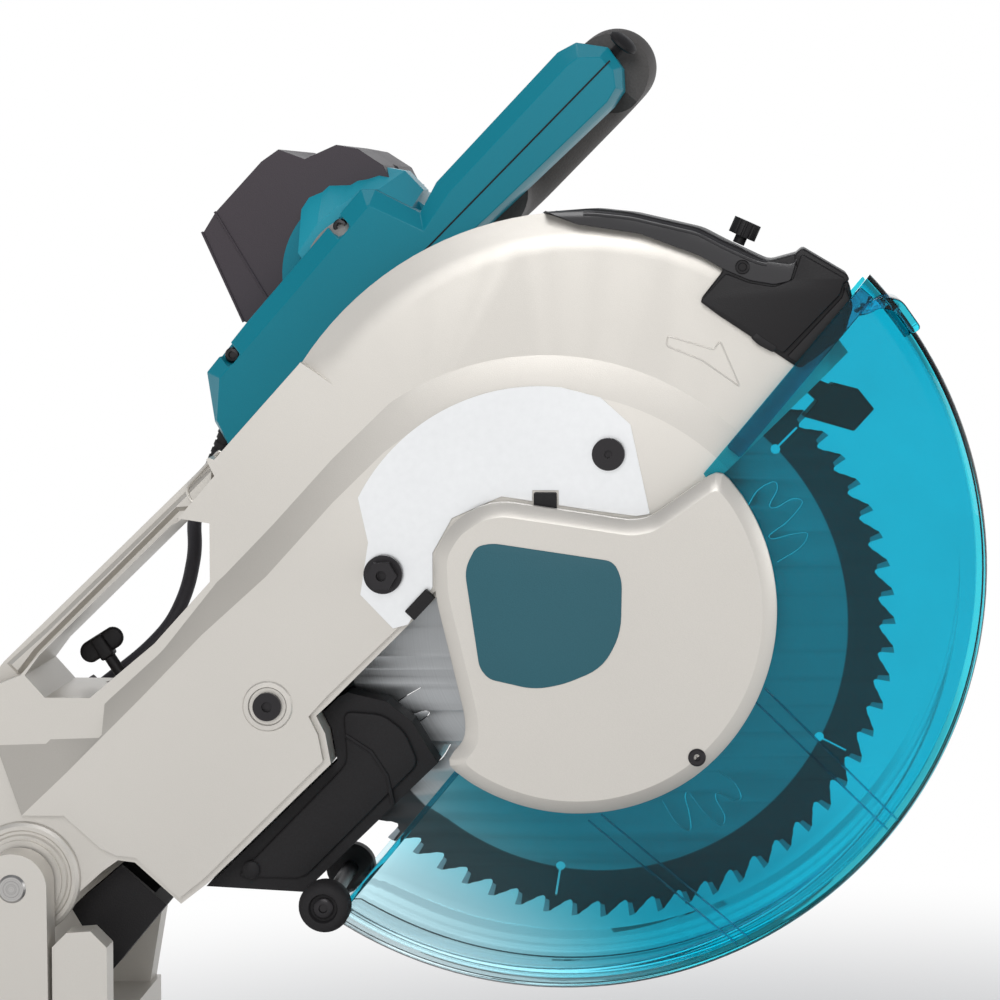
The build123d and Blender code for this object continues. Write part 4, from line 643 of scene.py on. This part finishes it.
# ---------------------------------------------------------------------------- centre cover
def arc_through(a, b, c, count):
    """Points along the arc that runs from a through b to c."""
    (ax, az), (bx, bz), (cx, cz) = a, b, c
    scale = 2 * (ax * (bz - cz) + bx * (cz - az) + cx * (az - bz))
    aa, bb, cc = ax * ax + az * az, bx * bx + bz * bz, cx * cx + cz * cz
    x = (aa * (bz - cz) + bb * (cz - az) + cc * (az - bz)) / scale
    z = (aa * (cx - bx) + bb * (ax - cx) + cc * (bx - ax)) / scale
    start, end = (degrees(atan2(p[1] - z, p[0] - x)) for p in (a, c))
    if end > start:
        end -= 360
    return arc(x, z, hypot(ax - x, az - z), start, end, count)


COVER_RIM = (arc_through((62.0, 84.0), (89.5, 10.0), (50.0, -66.0), 30)
             + arc_through((50.0, -66.0), (4.0, -84.0), (-72.5, -60.4), 26)[1:])
COVER_INNER = [(-61.9, -48.4), (-62.0, -38.0), (-76.3, 21.3), (-77.3, 42.0), (-69.0, 56.0), (-55.7, 65.0),
               (-43.6, 67.4), (-0.4, 61.2), (18.8, 58.3), (27.5, 59.7)]
cover_base = [COVER_RIM[0]] + COVER_RIM[3:-3] + [COVER_RIM[-1]] + COVER_INNER
cover_work = bmesh.new()
add_loft(cover_work, [ring_at(rounded(inset(cover_base, cut), 7.0 - cut * 0.4, 4), y)
                      for cut, y in ((0, -47.0), (0, -51.6), (0.9, -52.5), (5.4, -55.4), (6.8, -56.0))])
cover = finish_mesh("cover_shown", bmesh_to_mesh("cover_shown", cover_work), champagne, "head", 14.0)
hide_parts("centre_cover")
insert_work = bmesh.new()
INSERT = [(-61.6, 34.8), (-56.0, 46.0), (-48.0, 47.6), (10.9, 39.0), (14.7, 30.0), (14.2, 3.8), (5.2, -12.9),
          (-13.9, -21.0), (-28.2, -23.4), (-50.0, -18.5), (-54.5, -13.0)]
add_plate(insert_work, [rounded(INSERT, 9.0, 6)], -56.6, -54.6, 0.4)
insert_shown = finish_mesh("insert_shown", bmesh_to_mesh("insert_shown", insert_work), insert, "head", 30.0)
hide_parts("cover_insert")

# ---------------------------------------------------------------------------- laser housing
laser_work = bmesh.new()
LASER_BODY = [(-26.3, 207.6), (-9.6, 204.0), (22.2, 200.0), (51.5, 188.0), (63.8, 180.3), (51.5, 164.5),
              (60.0, 158.0), (85.8, 141.0), (101.0, 131.0), (122.0, 149.0), (127.0, 162.0), (124.0, 175.0),
              (101.5, 188.4), (84.8, 183.8), (63.8, 193.6), (51.5, 200.0), (18.3, 207.6), (-0.8, 209.6)]
add_plate(laser_work, [rounded(LASER_BODY, 3.0, 4)], -40.8, 21.6, 1.2)
LASER_BLOCK = [(64.5, 178.0), (51.8, 164.2), (79.0, 145.8), (92.5, 139.0), (120.0, 167.5), (122.5, 175.6),
               (101.2, 187.6), (97.0, 175.0), (88.0, 171.5), (76.0, 173.5)]
add_plate(laser_work, [rounded(LASER_BLOCK, 1.6, 4)], -42.6, -39.0, 0.7)
LASER_END = [(94.0, 137.4), (101.4, 132.2), (121.6, 149.4), (126.6, 162.0), (122.2, 173.0), (121.0, 166.6)]
add_plate(laser_work, [rounded(LASER_END, 1.6, 4)], -42.1, -39.0, 0.7)
LASER_CLIP = [(76.5, 146.8), (80.0, 143.4), (87.5, 139.4), (90.0, 142.2), (84.0, 146.0), (79.5, 149.5)]
add_plate(laser_work, [rounded(LASER_CLIP, 1.2, 4)], -42.8, -39.5, 0.6)
LASER_TOP = [(99.5, 179.0), (119.0, 170.5), (124.6, 174.8), (123.6, 177.4), (101.6, 190.4), (97.4, 186.8)]
add_plate(laser_work, [rounded(LASER_TOP, 1.6, 4)], -41.8, 18.0, 1.0)
add_turned(laser_work, spot(72.6, 181.0, -41.9), (0, -1, 0),
           [(3.6, -1.5), (3.6, 0.4), (3.0, 0.9), (2.2, 0.9), (1.8, 0.2), (0, 0.2)], 28)
laser_shell = finish_mesh("laser_shell", bmesh_to_mesh("laser_shell", laser_work), dark, "head", 35.0)
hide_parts("laser_housing")
strip_work = bmesh.new()
STRIP_TOP = [(-24.5, 207.6), (-0.8, 208.6), (18.3, 206.6), (51.0, 199.0), (63.4, 192.4), (80.5, 184.6),
             (96.5, 182.6), (99.5, 186.0)]
STRIP_LOW = [(96.0, 174.0), (88.0, 172.4), (76.0, 174.4), (64.0, 179.5), (51.5, 186.5), (22.2, 197.2),
             (-8.0, 201.6)]
add_plate(strip_work, [rounded(STRIP_TOP + STRIP_LOW, 1.5, 4)], -42.0, -38.8, 0.7)
gloss_strip = grained("gloss_strip", (0.02, 0.019, 0.021), 0.22, 1500.0, 0.00002, spread=0.1)
finish_mesh("laser_strip", bmesh_to_mesh("laser_strip", strip_work), gloss_strip, "head", 35.0)
rail_work = bmesh.new()
top_rail = rounded([(-24.5, 207.9)] + STRIP_TOP[1:7], 4.0, 4)[4:-4]
add_tube(rail_work, [spot(x, z - 1.6, -41.2) for x, z in top_rail], 1.5, 12)
finish_mesh("laser_strip_edge", bmesh_to_mesh("laser_strip_edge", rail_work), gloss_strip, "head", 50.0)

# ----------------------------------------------------------------------------- handle shell
SHELL = [(-202.0, 99.0), (-206.0, 124.5), (-184.2, 151.5), (-125.7, 219.0), (-118.5, 219.0), (-95.0, 207.0),
         (-86.6, 222.7), (-24.0, 289.2), (-14.4, 294.3), (1.9, 291.8), (9.0, 281.6), (9.5, 270.0),
         (3.9, 261.8), (-57.6, 203.8), (-191.8, 81.3)]
SHELL_IN = [3.0, 8.0, 9.5, 9.5, 8.0, 7.0, 9.0, 9.0, 8.0, 6.0, 4.0, 3.0, 2.5, 2.0, 2.0]


def bitten(points, index, centre, half):
    """An outline with a round-ended notch in the edge after point number index, open to that edge."""
    a, b = Vector(points[index]), Vector(points[index + 1])
    way = (b - a).normalized()
    into = Vector((way.y, -way.x))
    middle = Vector(centre)
    notch = [middle - into * 30 - way * half]
    notch += [middle + way * half * cos(t) + into * half * sin(t)
              for t in (pi, pi * 0.8, pi * 0.6, pi * 0.4, pi * 0.2, 0)]
    notch.append(middle - into * 30 + way * half)
    clipped = [tuple(point + into * max(0.0, -(point - a).dot(into))) for point in notch]
    return points[:index + 1] + clipped + points[index + 1:]


NOTCHES = ((2, (-136.5, 200.0)), (1, (-193.0, 133.5)))


def bitten_ring(points):
    """An outline of the shell with both screw notches."""
    for index, centre in NOTCHES:
        points = bitten(points, index, centre, 4.6)
    return points


shell_work = bmesh.new()
face = inset(SHELL, SHELL_IN)
add_loft(shell_work, [ring_at(bitten_ring(SHELL), 44.7), ring_at(bitten_ring(SHELL), 37.5),
                      ring_at(bitten_ring(face), 28.5)])
seam = inset(SHELL, 0.7)
add_loft(shell_work, [ring_at(seam, 45.4), ring_at(seam, 44.0)])
handle_near = finish_mesh("handle_near_shell", bmesh_to_mesh("handle_near_shell", shell_work), teal, "head",
                          20.0)
handle_edge = handle_near.modifiers.new("edge_round", "BEVEL")
handle_edge.width, handle_edge.segments, handle_edge.angle_limit = 0.8 * MM, 2, radians(18)
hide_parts("handle_shell_left")

screws = bmesh.new()
for _, centre in NOTCHES:
    add_turned(screws, spot(*centre, 40.0), (0, -1, 0),
               [(3.9, -3), (3.9, 1.0), (3.2, 2.0), (1.9, 2.2), (1.6, 0.8), (0, 0.8)], 28)
finish_mesh("handle_screws", bmesh_to_mesh("handle_screws", screws), black_steel, "head")
split_line = bmesh.new()
add_tube(split_line, [spot(-91.7, 187.5, 28.45), spot(3.6, 284.5, 28.45)], 0.45, 8)
finish_mesh("handle_split_line", bmesh_to_mesh("handle_split_line", split_line), rubber, "head")

# ----------------------------------------------------------- motor collar, buttons and wing screw
collar_work = bmesh.new()
COLLAR = [(-162.0, 224.5), (-150.0, 229.5), (-131.0, 230.0), (-121.5, 231.5), (-108.0, 229.0), (-98.3, 219.0),
          (-96.0, 205.0), (-112.0, 190.0), (-146.0, 190.0)]
COLLAR_FRONT = [(-160.0, 186.0), (-150.0, 201.0), (-141.0, 209.0), (-132.0, 214.5), (-118.0, 219.0),
                (-101.0, 209.0), (-98.0, 202.0), (-112.0, 170.0), (-146.0, 166.0)]
add_loft(collar_work, [ring_at(COLLAR, 96.0), ring_at(COLLAR, 76.0), ring_at(COLLAR_FRONT, 47.0)])
finish_mesh("motor_collar", bmesh_to_mesh("motor_collar", collar_work), teal_bright, "head", 15.0)
LOOP_WAY = degrees(atan2(MOTOR_Z, MOTOR_X))
LOOP_TURN = degrees(acos(15.0 / hypot(MOTOR_X, MOTOR_Z)))


def drive_loop(cut):
    """The outline of the belt housing, made smaller by cut all round."""
    return (arc(0, 0, 46.0 - cut, LOOP_WAY + LOOP_TURN, LOOP_WAY + 360 - LOOP_TURN, 32)
            + arc(MOTOR_X, MOTOR_Z, 31.0 - cut, LOOP_WAY - LOOP_TURN, LOOP_WAY + LOOP_TURN, 24))


housing_work = bmesh.new()
add_loft(housing_work, [ring_at(drive_loop(0.0), 56.0), ring_at(drive_loop(0.0), 42.0),
                        ring_at(drive_loop(12.0), 30.0)])
add_turned(housing_work, spot(GUARD_X, GUARD_Z, 36.0), (0, -1, 0), [(71.0, 0), (72.0, 1.0), (72.0, 6.0)], 64)
housing = finish_mesh("drive_housing_shown", bmesh_to_mesh("drive_housing_shown", housing_work), dark_cast,
                      "head", 30.0)
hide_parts("drive_housing")
rib_work = bmesh.new()
for line in (((-213.6, 196.8), (-191.9, 149.4)), ((-206.8, 207.4), (-172.0, 150.0))):
    add_tube(rib_work, [spot(x, z, 63.8) for x, z in line], 0.7, 8)
finish_mesh("motor_box_ribs", bmesh_to_mesh("motor_box_ribs", rib_work), brown, "head")

button_work = bmesh.new()
add_turned(button_work, spot(5.5, 290.5, 49.0), (0.62, -0.28, 0.72),
           [(3.0, -6), (2.8, 3.0), (7.2, 4.4), (8.2, 5.4), (8.0, 6.8), (5.6, 8.2), (0, 8.8)], 36)
lock_button = finish_mesh("lock_off_button", bmesh_to_mesh("lock_off_button", button_work), dark,
                          "lock_off_lever", 50.0)
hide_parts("lock_off_lever")

wing_work = bmesh.new()
WING_TILT, WING_END, WING_HALF = radians(57), 5.6, 6.6
wing_at = Vector((-255.0, -13.0))
wing_way = Vector((cos(WING_TILT), -sin(WING_TILT)))
wing_across = Vector((sin(WING_TILT), cos(WING_TILT)))
paddle = []
for step in range(24):
    t = 2 * pi * step / 24
    stretch = WING_HALF if cos(t) > 0 else -WING_HALF
    paddle.append(tuple(wing_at + wing_across * (stretch + WING_END * cos(t)) + wing_way * WING_END * sin(t)))
add_plate(wing_work, [paddle], 8.0, 12.0, 1.6)
hub = [tuple(wing_at + wing_across * a + wing_way * b)
       for a, b in ((-3.4, -5.2), (3.4, -5.2), (3.8, 7.5), (-3.8, 7.5))]
add_plate(wing_work, [rounded(hub, 1.5, 4)], 5.6, 14.4, 1.4)
add_turned(wing_work, spot(*wing_at, 10.0), (wing_way.x, 0, wing_way.y), [(3.0, 4), (3.0, 34)], 20)
wing_piece = finish_mesh("wing_screw_shown", bmesh_to_mesh("wing_screw_shown", wing_work), dark, "wing_screw",
                         40.0)
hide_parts("wing_screw")

# -------------------------------------------------------------------------- rollers on the guard
roller_work, pin_work = bmesh.new(), bmesh.new()
for sign, face_at in ((-1, -56.2), (1, 37.2)):
    add_turned(roller_work, spot(ROLLER_X, ROLLER_Z, face_at), (0, sign, 0),
               [(4.2, -9.8), (11.2, -9.8), (12.6, -8.6), (12.7, -3.0), (11.6, 0.2), (9.4, 1.7), (7.2, 1.7),
                (6.4, -0.6), (4.2, -0.6)], 40)
    add_turned(pin_work, spot(ROLLER_X, ROLLER_Z, face_at), (0, sign, 0),
               [(5.0, -0.5), (5.0, 0.6), (4.2, 1.3), (2.2, 1.4), (1.9, 0.3), (0, 0.3)], 32)
add_turned(pin_work, spot(ROLLER_X, ROLLER_Z, -50.0), (0, 1, 0), [(3.9, 0), (3.9, 82)], 24)
rollers = finish_mesh("rollers_shown", bmesh_to_mesh("rollers_shown", roller_work), rubber, "guard_rollers",
                      40.0)
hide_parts("guard_rollers")
roller_pin = finish_mesh("roller_pin_shown", bmesh_to_mesh("roller_pin_shown", pin_work), black_steel,
                         "lower_guard", 40.0)
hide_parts("roller_pin")

# --------------------------------------------------------- arm, boot and cover details on the head
detail_work = bmesh.new()
BAR_FACE = [(-189.0, 84.0), (-204.0, 70.0), (-276.0, 0.0), (-296.0, -18.0), (-289.0, -25.0), (-279.0, -12.0),
            (-208.0, 58.5), (-190.5, 60.0)]
add_loft(detail_work, [ring_at(BAR_FACE, -19.6), ring_at(inset(BAR_FACE, 2.6), -23.4)])
web = rounded([(-186.5, 90.0), (-204.5, 70.5), (-201.5, 63.0), (-187.0, 62.0)], 3.0, 4)
add_tube(detail_work, [spot(x, z, -23.2) for x, z in web], 0.9, 8, True)
add_turned(detail_work, spot(-283.0, -122.0, -38.4), (0, -1, 0),
           [(28.5, 0), (28.0, 1.2), (26.5, 2.2), (24.6, 2.2), (23.8, 1.3), (22.6, 1.3), (21.8, 2.6),
            (20.4, 2.6)], 64)
finish_mesh("arm_details", bmesh_to_mesh("arm_details", detail_work), champagne, "head", 30.0)
boot_work = bmesh.new()
BOOT_PANEL = [(-126.0, -40.0), (-106.0, -41.5), (-95.0, -50.0), (-88.0, -66.0), (-146.0, -124.0),
              (-180.0, -123.5), (-124.0, -66.0)]
add_plate(boot_work, [rounded(BOOT_PANEL, 5.0, 5)], -26.2, -23.6, 1.2)
BOOT_CREASE = [(-124.5, -52.0), (-112.0, -60.0), (-104.0, -72.0), (-101.0, -86.0)]
add_tube(boot_work, [spot(x, z, -26.0) for x, z in BOOT_CREASE], 1.2, 10)
add_turned(boot_work, spot(-172.0, -119.5, -26.0), (0, -1, 0),
           [(4.4, -2), (4.4, 1.2), (3.4, 2.0), (0, 2.0)], 24)
finish_mesh("boot_details", bmesh_to_mesh("boot_details", boot_work), rubber, "head", 40.0)
screw_work = bmesh.new()
add_turned(screw_work, spot(51.0, -56.0, -55.6), (0, -1, 0),
           [(4.3, -1), (4.3, 0.9), (3.6, 1.4), (1.7, 1.4), (1.5, 0.4), (0, 0.4)], 28)
finish_mesh("cover_screw", bmesh_to_mesh("cover_screw", screw_work), black_steel, "head")

# ------------------------------------------------------------------------ floor
FLOOR_HALF, SHADOWED_OUT_TO, WHITE_FROM = 12, 0.7, 1.25
floor_paint, floor_tree, floor_shader = new_material("floor")
floor_reach = vector_math(floor_tree, "LENGTH", object_coords(floor_tree)).outputs["Value"]
floor_fade = fade(floor_tree, floor_reach, SHADOWED_OUT_TO, WHITE_FROM)
floor_tree.links.new(ramp(floor_tree, floor_fade, 0.0, 1.0, (0.62, 0.0)), floor_shader.inputs["Base Color"])
floor_tree.links.new(ramp(floor_tree, floor_fade, 0.0, 1.0, (0.28, 1.0)),
                     floor_shader.inputs["Emission Strength"])
floor_shader.inputs["Emission Color"].default_value = (1, 1, 1, 1)
floor_shader.inputs["Roughness"].default_value = 0.8
floor_shader.inputs["Specular IOR Level"].default_value = 0.0
floor_mesh = bpy.data.meshes.new("floor")
floor_corners = [(x * FLOOR_HALF, y * FLOOR_HALF, 0) for x, y in ((-1, -1), (1, -1), (1, 1), (-1, 1))]
floor_mesh.from_pydata(floor_corners, [], [(0, 1, 2, 3)])
floor_mesh.materials.append(floor_paint)
floor = bpy.data.objects.new("floor", floor_mesh)
bpy.context.scene.collection.objects.link(floor)
